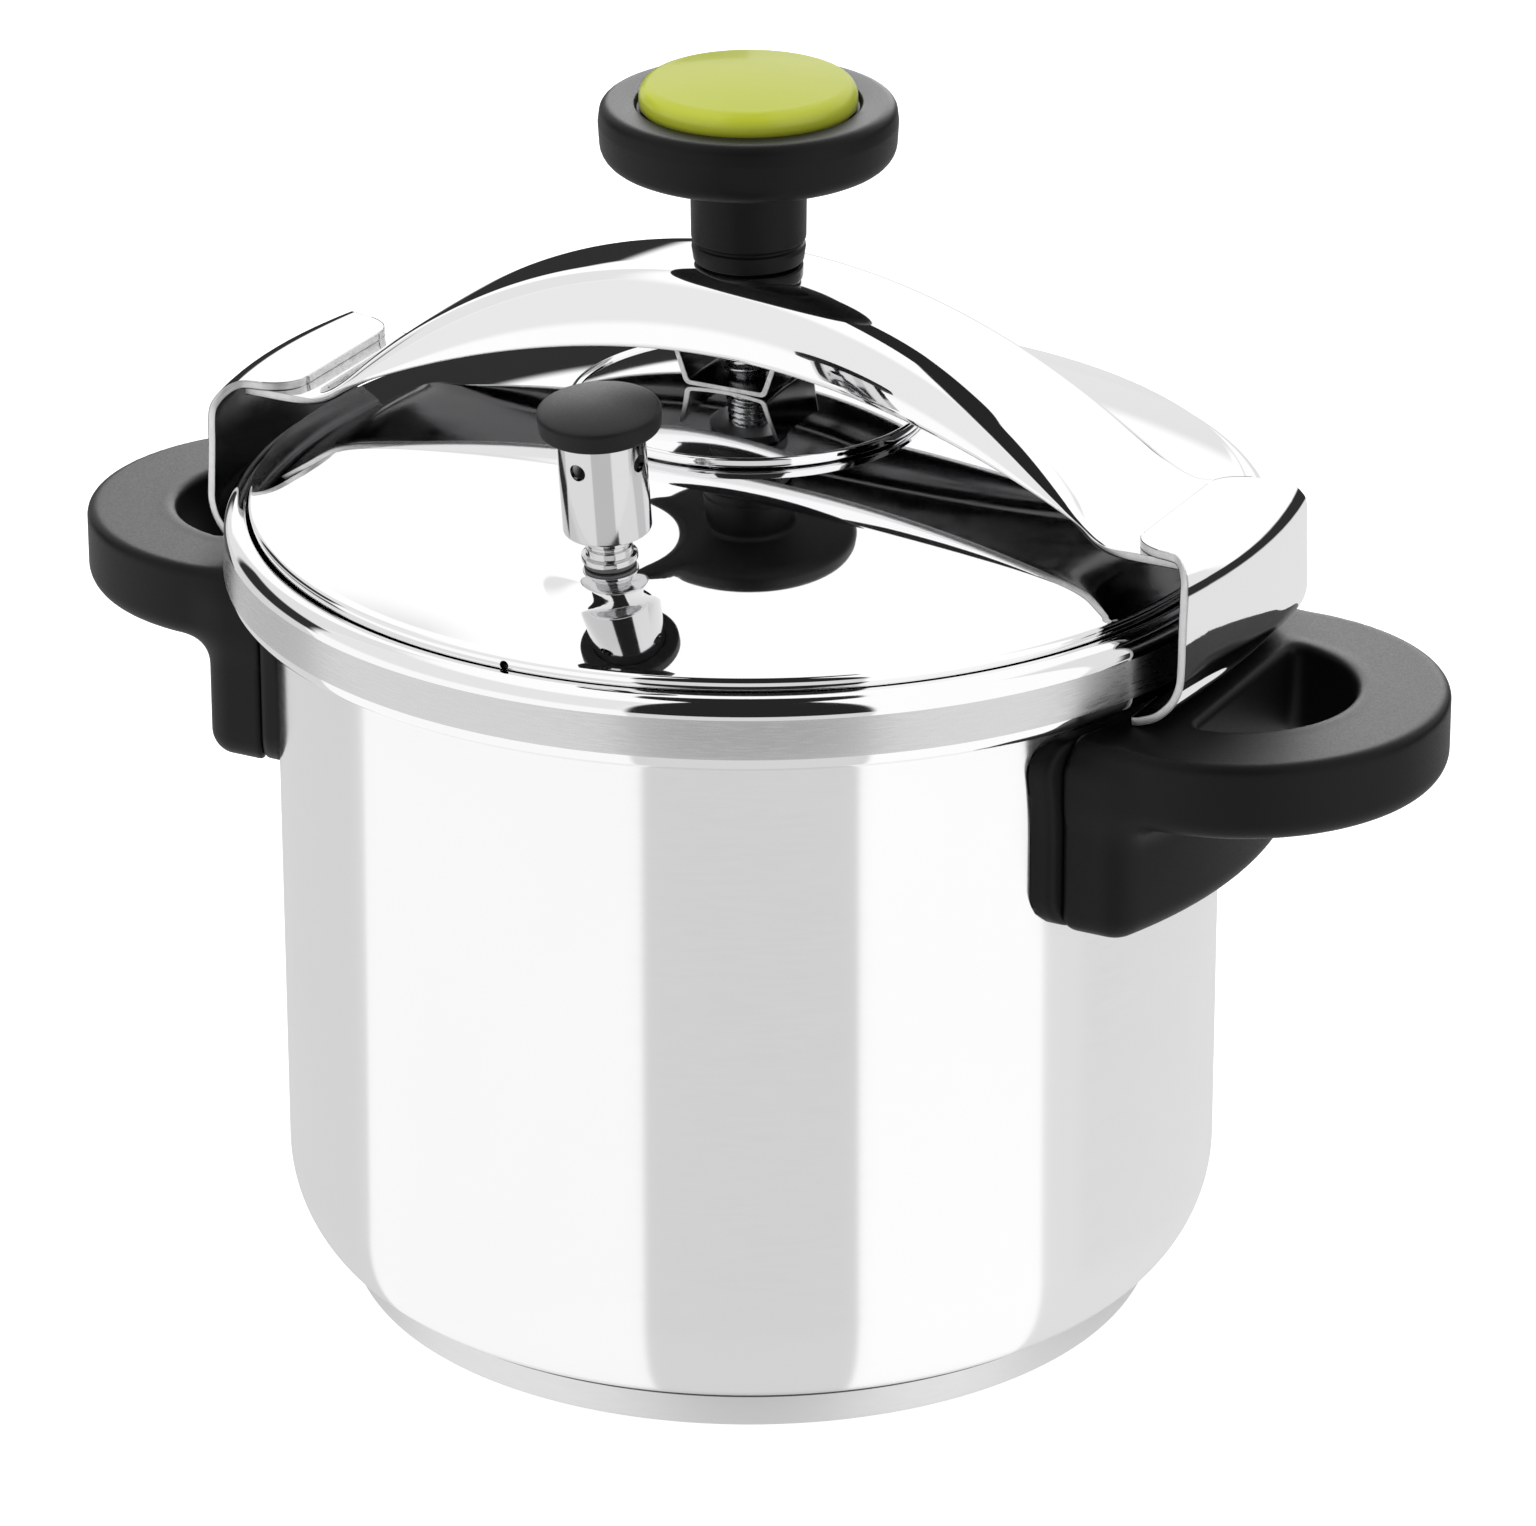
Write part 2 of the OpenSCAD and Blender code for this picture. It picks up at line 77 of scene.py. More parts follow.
def top_of(node):
    """Height of a CAD node's top, in millimetres."""
    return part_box(node)[1].z / MM


def radius_of(node):
    """Outer radius of a CAD node round the pot's axis, in millimetres."""
    low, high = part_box(node)
    return max(high.x, high.y, -low.x, -low.y) / MM


# ---- Camera, light and floor ----

CAMERA_AZIMUTH = 27.8      # degrees round from -Y towards +X
CAMERA_ELEVATION = 23.21
CAMERA_DISTANCE = 1.868
CAMERA_LENS = 185.1
CAMERA_ROLL = -0.108
CAMERA_TARGET = Vector((0, 0, 0.1265))
CAMERA_ASIDE = 0.0042      # how far to the right of the target the camera aims


def spherical(azimuth, elevation):
    """Unit vector at an azimuth from -Y towards +X and an elevation, both in degrees."""
    a, e = math.radians(azimuth), math.radians(elevation)
    return Vector((math.sin(a) * math.cos(e), -math.cos(a) * math.cos(e), math.sin(e)))


def make_camera():
    back = spherical(CAMERA_AZIMUTH, CAMERA_ELEVATION)
    right = Vector((math.cos(math.radians(CAMERA_AZIMUTH)), math.sin(math.radians(CAMERA_AZIMUTH)), 0))
    data = bpy.data.cameras.new("camera")
    data.lens = CAMERA_LENS
    data.sensor_width = 36
    data.clip_end = 100
    camera = bpy.data.objects.new("camera", data)
    camera.location = CAMERA_TARGET + back * CAMERA_DISTANCE
    look = CAMERA_TARGET + right * CAMERA_ASIDE - camera.location
    turn = look.to_track_quat("-Z", "Y").to_matrix().to_4x4()
    roll = Matrix.Rotation(math.radians(CAMERA_ROLL), 4, "Z")
    camera.rotation_euler = (turn @ roll).to_euler()
    bpy.context.scene.collection.objects.link(camera)
    bpy.context.scene.camera = camera


def node(tree, kind, inputs=None, **settings):
    """A shader node with its settings and inputs; an input that is a socket is linked, others are values."""
    made = tree.nodes.new(kind)
    for name, value in settings.items():
        setattr(made, name, value)
    for name, value in (inputs or {}).items():
        if isinstance(value, bpy.types.NodeSocket):
            tree.links.new(value, made.inputs[name])
        else:
            made.inputs[name].default_value = value
    return made


def maths(tree, operation, a, b=None):
    made = node(tree, "ShaderNodeMath", {0: a}, operation=operation)
    if b is not None:
        if isinstance(b, bpy.types.NodeSocket):
            tree.links.new(b, made.inputs[1])
        else:
            made.inputs[1].default_value = b
    return made.outputs[0]


def ramp(tree, value, low, high):
    """0 below low, 1 above high, smooth in between."""
    inputs = {"Value": value, "From Min": low, "From Max": high}
    return node(tree, "ShaderNodeMapRange", inputs, interpolation_type="SMOOTHSTEP").outputs["Result"]


def window(tree, value, low, high, soft):
    """1 between low and high with soft ends, 0 outside."""
    rise = ramp(tree, value, low - soft, low + soft)
    fall = ramp(tree, value, high - soft, high + soft)
    return maths(tree, "SUBTRACT", rise, fall)


# Studio walls as the steel sees them: (azimuth from, to, elevation from, to, softness, brightness).
# Azimuths are in degrees from the camera's side, to the right positive; later rows cover earlier ones.
STUDIO_BASE = 0.82
STUDIO = [
    (-200, -107.4, -90, -5, 1, 0.72),
    (-107.4, -25.6, -90, 75, 1, 1.04),
    (25.6, 75.4, -90, 75, 1, 1.08),
    (75.4, 200, -90, -5, 1, 0.80),
    (-25.6, 25.6, -90, -4, 1, 0.72),
    (-200, -150, 7, 60, 2, 1.08),
    (108, 200, 7, 60, 2, 1.08),
    (-107.4, -25.6, 4, 60, 4, 0.86),
    (-200, 200, 52, 100, 4, 1.08),
    (-25.6, 25.6, -4, 100, 1, 0.02),
    (84, 155, -13, 7, 1.5, 0.03),
    (-200, -158, -16, 9, 1.5, 0.03),
    (-140, -104, -5, 20, 2, 0.03),
]
# How far down and up, as the sine of the elevation, the panels' edges begin and end to straighten
STEEP_DOWN = (0.39, 0.42)
STEEP_UP = (0.94, 0.97)


def make_world():
    world = bpy.data.worlds.new("studio")
    bpy.context.scene.world = world
    world.use_nodes = True
    tree = world.node_tree
    tree.nodes.clear()
    direction = node(tree, "ShaderNodeTexCoord").outputs["Generated"]
    axes = node(tree, "ShaderNodeSeparateXYZ", {0: direction}).outputs
    front = spherical(CAMERA_AZIMUTH, 0)

    def component(x, y):
        return maths(tree, "ADD", maths(tree, "MULTIPLY", axes[0], x), maths(tree, "MULTIPLY", axes[1], y))

    along = component(front.x, front.y)
    across = component(-front.y, front.x)
    azimuth = maths(tree, "MULTIPLY", maths(tree, "ARCTAN2", across, along), 360 / TURN)
    # Steeply up and down the panels keep their width instead of meeting at a point
    beyond = maths(tree, "ADD", along, math.cos(math.radians(CAMERA_ELEVATION)))
    unpinched = maths(tree, "MULTIPLY", maths(tree, "ARCTAN2", across, beyond), 720 / TURN)
    low = ramp(tree, maths(tree, "MULTIPLY", axes[2], -1), *STEEP_DOWN)
    steep = maths(tree, "MAXIMUM", low, ramp(tree, axes[2], *STEEP_UP))
    azimuth = node(tree, "ShaderNodeMix", {0: steep, 2: azimuth, 3: unpinched}, data_type="FLOAT").outputs[0]
    elevation = maths(tree, "MULTIPLY", maths(tree, "ARCSINE", axes[2]), 360 / TURN)
    level = None
    for a0, a1, e0, e1, soft, bright in STUDIO:
        wide = window(tree, azimuth, a0, a1, soft)
        inside = maths(tree, "MULTIPLY", wide, window(tree, elevation, e0, e1, soft))
        before = STUDIO_BASE if level is None else level
        mix = node(tree, "ShaderNodeMix", {0: inside, 2: before, 3: bright}, data_type="FLOAT")
        level = mix.outputs[0]
    background = node(tree, "ShaderNodeBackground", {"Color": (1, 1, 1, 1), "Strength": level})
    out = node(tree, "ShaderNodeOutputWorld")
    tree.links.new(background.outputs[0], out.inputs["Surface"])


def area_light(name, azimuth, elevation, distance, size, power):
    data = bpy.data.lights.new(name, "AREA")
    data.shape = "DISK"
    data.size = size
    data.energy = power
    light = bpy.data.objects.new(name, data)
    towards = spherical(azimuth, elevation)
    light.location = CAMERA_TARGET + towards * distance
    light.rotation_euler = (-towards).to_track_quat("-Z", "Y").to_euler()
    bpy.context.scene.collection.objects.link(light)
    light.visible_glossy = False
    return light


def link_light(light, pieces):
    """The light falls on these pieces only, so that the mirror-like steel does not show it."""
    lit = bpy.data.collections.new(light.name + "_receivers")
    for piece in pieces:
        lit.objects.link(piece)
    light.light_linking.receiver_collection = lit
    light.visible_glossy = True


def make_floor():
    size = 30
    corners = [(-size, -size, 0), (size, -size, 0), (size, size, 0), (-size, size, 0)]
    mesh = bpy.data.meshes.new("floor")
    mesh.from_pydata(corners, [], [(0, 1, 2, 3)])
    floor = bpy.data.objects.new("floor", mesh)
    bpy.context.scene.collection.objects.link(floor)
    material = bpy.data.materials.new("pale_floor")
    material.use_nodes = True
    shader = material.node_tree.nodes["Principled BSDF"]
    shader.inputs["Base Color"].default_value = (0.9, 0.9, 0.9, 1)
    shader.inputs["Roughness"].default_value = 0.9
    shader.inputs["Emission Color"].default_value = (1, 1, 1, 1)
    shader.inputs["Emission Strength"].default_value = 0.62
    mesh.materials.append(material)
    floor.visible_glossy = False


# ---- Materials ----

def new_material(name):
    material = bpy.data.materials.new(name)
    material.use_nodes = True
    tree = material.node_tree
    return material, tree, tree.nodes["Principled BSDF"]


def object_point(tree):
    return node(tree, "ShaderNodeTexCoord").outputs["Object"]


def noise(tree, point, scale, detail=2.0):
    inputs = {"Vector": point, "Scale": scale, "Detail": detail}
    return node(tree, "ShaderNodeTexNoise", inputs).outputs["Fac"]


def ring_point(tree, stretch):
    """Coordinates that run round the Z axis: the angle is squeezed, so noise on them draws turned lines."""
    axes = node(tree, "ShaderNodeSeparateXYZ", {0: object_point(tree)}).outputs
    angle = maths(tree, "ARCTAN2", axes[1], axes[0])
    squares = [maths(tree, "MULTIPLY", axis, axis) for axis in (axes[0], axes[1])]
    radius = maths(tree, "SQRT", maths(tree, "ADD", *squares))
    inputs = {0: maths(tree, "MULTIPLY", angle, stretch), 1: radius, 2: axes[2]}
    return node(tree, "ShaderNodeCombineXYZ", inputs).outputs[0]


def blend_value(tree, fac, low, high):
    inputs = {"Value": fac, "From Min": 0.3, "From Max": 0.7, "To Min": low, "To Max": high}
    return node(tree, "ShaderNodeMapRange", inputs).outputs["Result"]


def blend_colour(tree, fac, first, second):
    inputs = {0: fac, 6: (*first, 1), 7: (*second, 1)}
    return node(tree, "ShaderNodeMix", inputs, data_type="RGBA").outputs[2]


def bump(tree, height, strength, distance):
    inputs = {"Height": height, "Strength": strength, "Distance": distance}
    return node(tree, "ShaderNodeBump", inputs).outputs[0]


def steel(name, tint, rough, spread, grain_scale, grain_strength, turned=0.0, stretch=0.01):
    """Steel whose roughness, tint and fine lines vary; turned is how far it blurs across its turned lines."""
    material, tree, shader = new_material(name)
    point = ring_point(tree, stretch) if stretch else object_point(tree)
    grain = noise(tree, point, grain_scale, 3)
    cloud = noise(tree, object_point(tree), 14, 2)
    darker = tuple(c * 0.965 for c in tint)
    link = tree.links.new
    link(blend_colour(tree, cloud, darker, tint), shader.inputs["Base Color"])
    link(blend_value(tree, grain, rough - spread, rough + spread), shader.inputs["Roughness"])
    link(bump(tree, grain, grain_strength, 0.00002), shader.inputs["Normal"])
    shader.inputs["Metallic"].default_value = 1
    if turned:
        shader.inputs["Anisotropic"].default_value = turned
        shader.inputs["Anisotropic Rotation"].default_value = 0.25
        tangent = node(tree, "ShaderNodeTangent", direction_type="RADIAL", axis="Z")
        link(tangent.outputs[0], shader.inputs["Tangent"])
    return material


def moulded(name, dark, light, rough, grain, coat=0.0, shine=0.5):
    """Moulded plastic: cloudy colour, fine grain in the relief and in the gloss."""
    material, tree, shader = new_material(name)
    point = object_point(tree)
    fine = noise(tree, point, 2600, 2)
    cloud = noise(tree, point, 60, 3)
    link = tree.links.new
    link(blend_colour(tree, cloud, dark, light), shader.inputs["Base Color"])
    link(blend_value(tree, fine, rough - 0.05, rough + 0.05), shader.inputs["Roughness"])
    link(bump(tree, fine, grain, 0.00006), shader.inputs["Normal"])
    shader.inputs["Specular IOR Level"].default_value = shine
    shader.inputs["Coat Weight"].default_value = coat
    shader.inputs["Coat Roughness"].default_value = 0.06
    return material


POT_STEEL = steel("pot_steel_satin", (0.93, 0.93, 0.935), 0.15, 0.015, 1500, 0.004, turned=1.0)
RIM_STEEL = steel("rim_steel_polished", (0.93, 0.93, 0.935), 0.05, 0.01, 900, 0.01)
SATIN_STEEL = steel("rim_steel_brushed", (0.66, 0.66, 0.665), 0.30, 0.06, 2600, 0.25, turned=0.6)
BASE_STEEL = steel("base_steel_turned", (0.80, 0.80, 0.805), 0.46, 0.04, 1800, 0.08, turned=0.3)
# Near-black steel for the base cup's top band: painted shade in the gap under the pot's overhanging corner.
SEAM_SHADE_STEEL = steel("seam_dark_steel", (0.10, 0.10, 0.10), 0.5, 0.05, 900, 0.1, stretch=0)
LID_STEEL = steel("lid_steel_mirror", (0.95, 0.95, 0.955), 0.025, 0.006, 500, 0.004)
BRIDGE_STEEL = steel("bridge_steel_mirror", (0.96, 0.96, 0.965), 0.03, 0.008, 240, 0.004, stretch=0)
# Near-black steel for the bridge's underside and the plate's strap: its darkness is painted shade under the
# arch; the rougher finish is the steel's own.
UNDERSIDE_SHADE_STEEL = steel("bridge_steel_unpolished", (0.10, 0.10, 0.102), 0.20, 0.05, 160, 0.05, stretch=0)
CUT_STEEL = steel("cut_edge_steel", (0.84, 0.84, 0.84), 0.55, 0.08, 900, 0.5, stretch=0)
PLATE_STEEL = steel("plate_steel_polished", (0.92, 0.92, 0.925), 0.05, 0.012, 900, 0.01)
VALVE_STEEL = steel("valve_steel_turned", (0.68, 0.68, 0.685), 0.10, 0.015, 1400, 0.03, stretch=0)
SPINDLE_STEEL = steel("spindle_steel_machined", (0.70, 0.71, 0.72), 0.25, 0.05, 1400, 0.1)
ZINC_STEEL = steel("zinc_plate", (0.62, 0.63, 0.64), 0.38, 0.08, 700, 0.2, stretch=0)
SPRING_STEEL = steel("spring_wire", (0.50, 0.51, 0.52), 0.3, 0.06, 1200, 0.1, stretch=0)
ALUMINIUM = steel("cast_aluminium", (0.78, 0.78, 0.77), 0.5, 0.08, 600, 0.4, stretch=0)
BAKELITE = moulded("bakelite_grain", (0.0035, 0.0035, 0.004), (0.005, 0.005, 0.0055), 0.47, 0.22, shine=0.17)
CAP_BLACK = moulded("cap_black_grain", (0.006, 0.006, 0.0065), (0.0085, 0.0085, 0.009), 0.50, 0.25, shine=0.2)
CAP_GREEN = moulded("cap_green_gloss", (0.49, 0.54, 0.038), (0.52, 0.57, 0.045), 0.34, 0.03, 0.3, 0.25)
RUBBER = moulded("grey_silicone", (0.10, 0.10, 0.10), (0.13, 0.13, 0.13), 0.55, 0.15)


# ---- Mesh helpers ----

SHARP = 38     # an edge bent more than this many degrees is drawn sharp

def arc(cx, cz, rx, rz, a0, a1, steps):
    """Points of an ellipse's arc about (cx, cz) between two angles in degrees."""
    angles = np.radians(np.linspace(a0, a1, steps + 1))
    return [(cx + rx * math.cos(a), cz + rz * math.sin(a)) for a in angles]


def rounded(points, closed=True):
    """An outline with its corners rounded: a point is (r, z) or (r, z, radius of its corner)."""
    out = []
    count = len(points)
    for i, point in enumerate(points):
        radius = point[2] if len(point) > 2 else 0
        here = np.array(point[:2], float)
        if not radius or (not closed and i in (0, count - 1)):
            out.append(tuple(here))
            continue
        back = np.array(points[i - 1][:2], float) - here
        on = np.array(points[(i + 1) % count][:2], float) - here
        long_back, long_on = np.linalg.norm(back), np.linalg.norm(on)
        back, on = back / long_back, on / long_on
        half = math.acos(max(-1, min(1, float(back @ on)))) / 2
        reach = min(radius / math.tan(half), 0.49 * min(long_back, long_on))
        radius = reach * math.tan(half)
        middle = back + on
        centre = here + middle / np.linalg.norm(middle) * radius / math.sin(half)
        first, last = here + back * reach - centre, here + on * reach - centre
        a0, a1 = math.atan2(first[1], first[0]), math.atan2(last[1], last[0])
        sweep = (a1 - a0 + math.pi) % TURN - math.pi
        steps = max(2, math.ceil(abs(sweep) / math.radians(11)))
        for k in range(steps + 1):
            a = a0 + sweep * k / steps
            out.append(tuple(centre + radius * np.array((math.cos(a), math.sin(a)))))
    return out


def make_piece(name, verts, faces, body, materials, stands_for,
               place=None, slots=None, sharp=SHARP):
    """A mesh in millimetres becomes a piece that rides on a body and stands for CAD nodes."""
    mesh = bpy.data.meshes.new(name)
    mesh.from_pydata([tuple(v) for v in verts], [], faces)
    for material in materials:
        mesh.materials.append(material)
    if slots is not None:
        mesh.polygons.foreach_set("material_index", slots)
    edit = bmesh.new()
    edit.from_mesh(mesh)
    bmesh.ops.remove_doubles(edit, verts=edit.verts, dist=1e-4)
    bmesh.ops.recalc_face_normals(edit, faces=edit.faces)
    scale = Matrix.Scale(MM, 4)
    bmesh.ops.transform(edit, matrix=scale if place is None else place @ scale, verts=edit.verts)
    edit.to_mesh(mesh)
    edit.free()
    mesh.shade_smooth()
    mesh.set_sharp_from_angle(angle=math.radians(sharp))
    made = bpy.data.objects.new(name, mesh)
    bpy.context.scene.collection.objects.link(made)
    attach(made, body)
    if stands_for:
        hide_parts(*stands_for)
    return made


def lathe(name, outline, body, materials, stands_for, segments=256,
          place=None, pick=None, closed=True, sharp=SHARP):
    """An outline of (radius, height) turned round the Z axis. pick(r, z) gives a face's material number."""
    angles = np.linspace(0, TURN, segments, endpoint=False)
    ring = np.stack([np.cos(angles), np.sin(angles)], 1)
    verts = [(c * r, s * r, z) for r, z in outline for c, s in ring]
    faces, slots = [], []
    count = len(outline)
    for i in range(count if closed else count - 1):
        j = (i + 1) % count
        (r0, z0), (r1, z1) = outline[i], outline[j]
        number = pick((r0 + r1) / 2, (z0 + z1) / 2) if pick else 0
        for k in range(segments):
            m = (k + 1) % segments
            faces.append((i * segments + k, i * segments + m, j * segments + m, j * segments + k))
            slots.append(number)
    return make_piece(name, verts, faces, body, materials, stands_for, place, slots, sharp)


def ring_quads(spans, around):
    """Faces between successive closed rings of points, for that many spans."""
    return [(i * around + k, i * around + (k + 1) % around,
             (i + 1) * around + (k + 1) % around, (i + 1) * around + k)
            for i in range(spans) for k in range(around)]


def drill(target, cutters, solver="EXACT"):
    """Cuts closed meshes out of a piece and removes them."""
    for tool in cutters:
        modifier = target.modifiers.new("cut", "BOOLEAN")
        modifier.operation = "DIFFERENCE"
        modifier.solver = solver
        modifier.object = tool
    graph = bpy.context.evaluated_depsgraph_get()
    mesh = bpy.data.meshes.new_from_object(target.evaluated_get(graph))
    target.modifiers.clear()
    target.data = mesh
    mesh.set_sharp_from_angle(angle=math.radians(SHARP))
    for tool in cutters:
        bpy.data.objects.remove(tool)


def cutter(radius, length, place):
    """A closed cylinder along its own Z, in millimetres, to drill with."""
    edit = bmesh.new()
    bmesh.ops.create_cone(edit, cap_ends=True, segments=40, radius1=radius * MM, radius2=radius * MM,
                          depth=length * MM, matrix=place)
    mesh = bpy.data.meshes.new("cutter")
    edit.to_mesh(mesh)
    edit.free()
    made = bpy.data.objects.new("cutter", mesh)
    bpy.context.scene.collection.objects.link(made)
    return made


def surface_net(field, low, high, step):
    """Closed quad mesh of the surface where field(x, y, z) is zero, as (verts, faces)."""
    lines = [np.arange(a - step, b + 2 * step, step) for a, b in zip(low, high)]
    grid = np.meshgrid(*lines, indexing="ij")
    value = field(*grid)
    cells = tuple(n - 1 for n in value.shape)
    total, count = np.zeros(cells + (3,)), np.zeros(cells)

    def corner(array, i, j, k):
        return array[i:cells[0] + i, j:cells[1] + j, k:cells[2] + k]

    corners = [(i, j, k) for i in (0, 1) for j in (0, 1) for k in (0, 1)]
    for a in corners:
        for axis in range(3):
            if a[axis]:
                continue
            b = tuple(1 if n == axis else a[n] for n in range(3))
            va, vb = corner(value, *a), corner(value, *b)
            crossing = (va < 0) != (vb < 0)
            share = np.where(crossing, va / np.where(crossing, va - vb, 1), 0)
            for n in range(3):
                at = a[n] + (share if n == axis else 0)
                total[..., n] += np.where(crossing, at, 0)
            count += crossing
    active = count > 0
    number = np.full(cells, -1)
    number[active] = np.arange(active.sum())
    base = np.argwhere(active)
    verts = (base + total[active] / count[active][:, None]) * step + np.array([line[0] for line in lines])
    faces = []
    inside = value < 0
    for axis in range(3):
        near = np.moveaxis(inside, axis, 0)
        cell = np.moveaxis(number, axis, 0)
        flips = near[:-1, 1:-1, 1:-1] != near[1:, 1:-1, 1:-1]
        for i, j, k in np.argwhere(flips):
            faces.append((cell[i, j, k], cell[i, j + 1, k], cell[i, j + 1, k + 1], cell[i, j, k + 1]))
    nudge = step * 0.2
    for _ in range(3):
        here = field(*verts.T)
        slope = np.stack([(field(*(verts + nudge * axis).T) - field(*(verts - nudge * axis).T)) / (2 * nudge)
                          for axis in np.eye(3)], 1)
        far = np.clip(here / np.maximum((slope ** 2).sum(1), 0.2), -step, step)
        verts = verts - far[:, None] * slope
    return verts, [tuple(int(n) for n in f) for f in faces]


def smooth_max(a, b, k):
    """The larger of two distances, rounded over a width of about k where they meet."""
    h = np.maximum(k - np.abs(a - b), 0) / k
    return np.maximum(a, b) + h * h * k / 4


def smooth_min(a, b, k):
    return -smooth_max(-a, -b, k)


# ---- Pot: wall, rim ring and base ----

POT_R = radius_of("pot_body")
WALL = 1.0
BASE_H = top_of("base_cap")
CORNER = (POT_R - 22.5, 33.1, 22.5, 26.4)
SEAM_R = 99.3
SEAT_Z = top_of("pot_body") + 1.2
RIM_TOP = top_of("pot_rim")
RIM_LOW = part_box("pot_rim")[0].z / MM
RIM_R = radius_of("pot_rim") - 0.02
RIM_IN = 117.2
RIM_T = 1.2
BAND_LOW, BAND_HIGH = 179.8, 189.0


def make_pot():
    cx, cz, rx, rz = CORNER
    seam_angle = -math.degrees(math.acos((SEAM_R + 1.8 - cx) / rx))
    inner_angle = -math.degrees(math.asin((cz - BASE_H - WALL) / (rz - WALL))) + 1
    seam = [(0, BASE_H), (60, BASE_H), (SEAM_R, BASE_H)]
    wall = [(POT_R, z) for z in np.linspace(50, SEAT_Z - RIM_T, 12)]
    inner_wall = [(POT_R - WALL, z) for z in np.linspace(SEAT_Z - RIM_T, 50, 12)]
    outline = (seam + arc(cx, cz, rx, rz, seam_angle, 0, 40) + wall + inner_wall
               + arc(cx, cz, rx - WALL, rz - WALL, 0, inner_angle, 30)
               + [(60, BASE_H + WALL), (0, BASE_H + WALL)])
    lathe("pot_wall", outline, "pot", [POT_STEEL], ["pot_body"], 384, closed=False)

    skirt_z, skirt_low_r, shoulder_z = 180.5, 119.6, BAND_HIGH
    shoulder_rx = RIM_R - 0.4 - RIM_IN - RIM_T
    underside = [(POT_R - WALL, SEAT_Z - RIM_T), (RIM_IN + RIM_T, SEAT_Z - RIM_T, 0.8),
                 (RIM_IN + RIM_T, RIM_TOP - 2.4, 1.2), (RIM_R - 1.8, shoulder_z, 1.5),
                 (RIM_R - 1.4, skirt_z, 2), (skirt_low_r, RIM_LOW + 1.4), (skirt_low_r, RIM_LOW)]
    seat = [(RIM_IN + RIM_T, RIM_TOP), (RIM_IN, RIM_TOP, 0.6), (RIM_IN, SEAT_Z, 0.5), (POT_R - WALL, SEAT_Z)]
    outline = (rounded(underside)
               + arc(skirt_low_r, skirt_z, RIM_R - skirt_low_r, skirt_z - RIM_LOW, -84, -9, 14)
               + [(RIM_R, skirt_z), (RIM_R - 0.2, 184.5)]
               + arc(RIM_IN + RIM_T, shoulder_z, shoulder_rx, RIM_TOP - shoulder_z, 0, 84, 22)
               + rounded(seat, closed=False))

    def satin(r, z):
        return 1 if r > RIM_R - 1.2 and BAND_LOW < z < BAND_HIGH - 0.01 else 0

    lathe("rim_ring", outline, "pot", [RIM_STEEL, SATIN_STEEL], ["pot_rim"], 384, pick=satin)

    cup_r, foot_r, cup_t = radius_of("base_cap"), 93.8, 0.8
    inner_r = foot_r - 0.3
    outline = ([(0, 0), (60, 0), (foot_r, 0)] + arc(foot_r, BASE_H, cup_r - foot_r, BASE_H, -84, 0, 42)
               + [(cup_r - cup_t, BASE_H)]
               + arc(inner_r, BASE_H, cup_r - foot_r + 0.3 - cup_t, BASE_H - cup_t, 0, -84, 14)
               + [(inner_r, cup_t), (60, cup_t), (0, cup_t)])

    def seam_shade_band(r, z):
        # The cup's top band, just under the pot's overhang, gets painted shade.
        return 1 if z > BASE_H - 1.5 else 0

    lathe("base_cup", outline, "pot", [BASE_STEEL, SEAM_SHADE_STEEL], ["base_cap"], 384, closed=False,
          pick=seam_shade_band)


# ---- Handles ----

LOOP_X, LOOP_R = 125.0, radius_of("grip_right") - 125.0
GRIP_TOP = top_of("grip_right")
GRIP_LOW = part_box("grip_right")[0].z / MM
GRIP_T = 19.0
SADDLE_R, SLAB_R, SLAB_W = 115.5, 129.5, 49.0
HOLE_R, HOLE_X = 27.5, 127.0
POCKET_R, POCKET_W, POCKET_Z = 120.5, 33.0, 160.0
HOLE_LOW = 149.0           # the finger hole stops here where it meets the slab
SCREW_X = 122.0
LUG_Z, LUG_W, LUG_H = 141.0, 9.4, 3.4


def rounded_block(parts, radius):
    """Distance to a block from its distances beyond each pair of faces, with edges of that radius."""
    parts = [p + radius for p in parts]
    outside = np.sqrt(sum(np.maximum(p, 0) ** 2 for p in parts))
    return outside + np.minimum(np.maximum.reduce(parts), 0) - radius


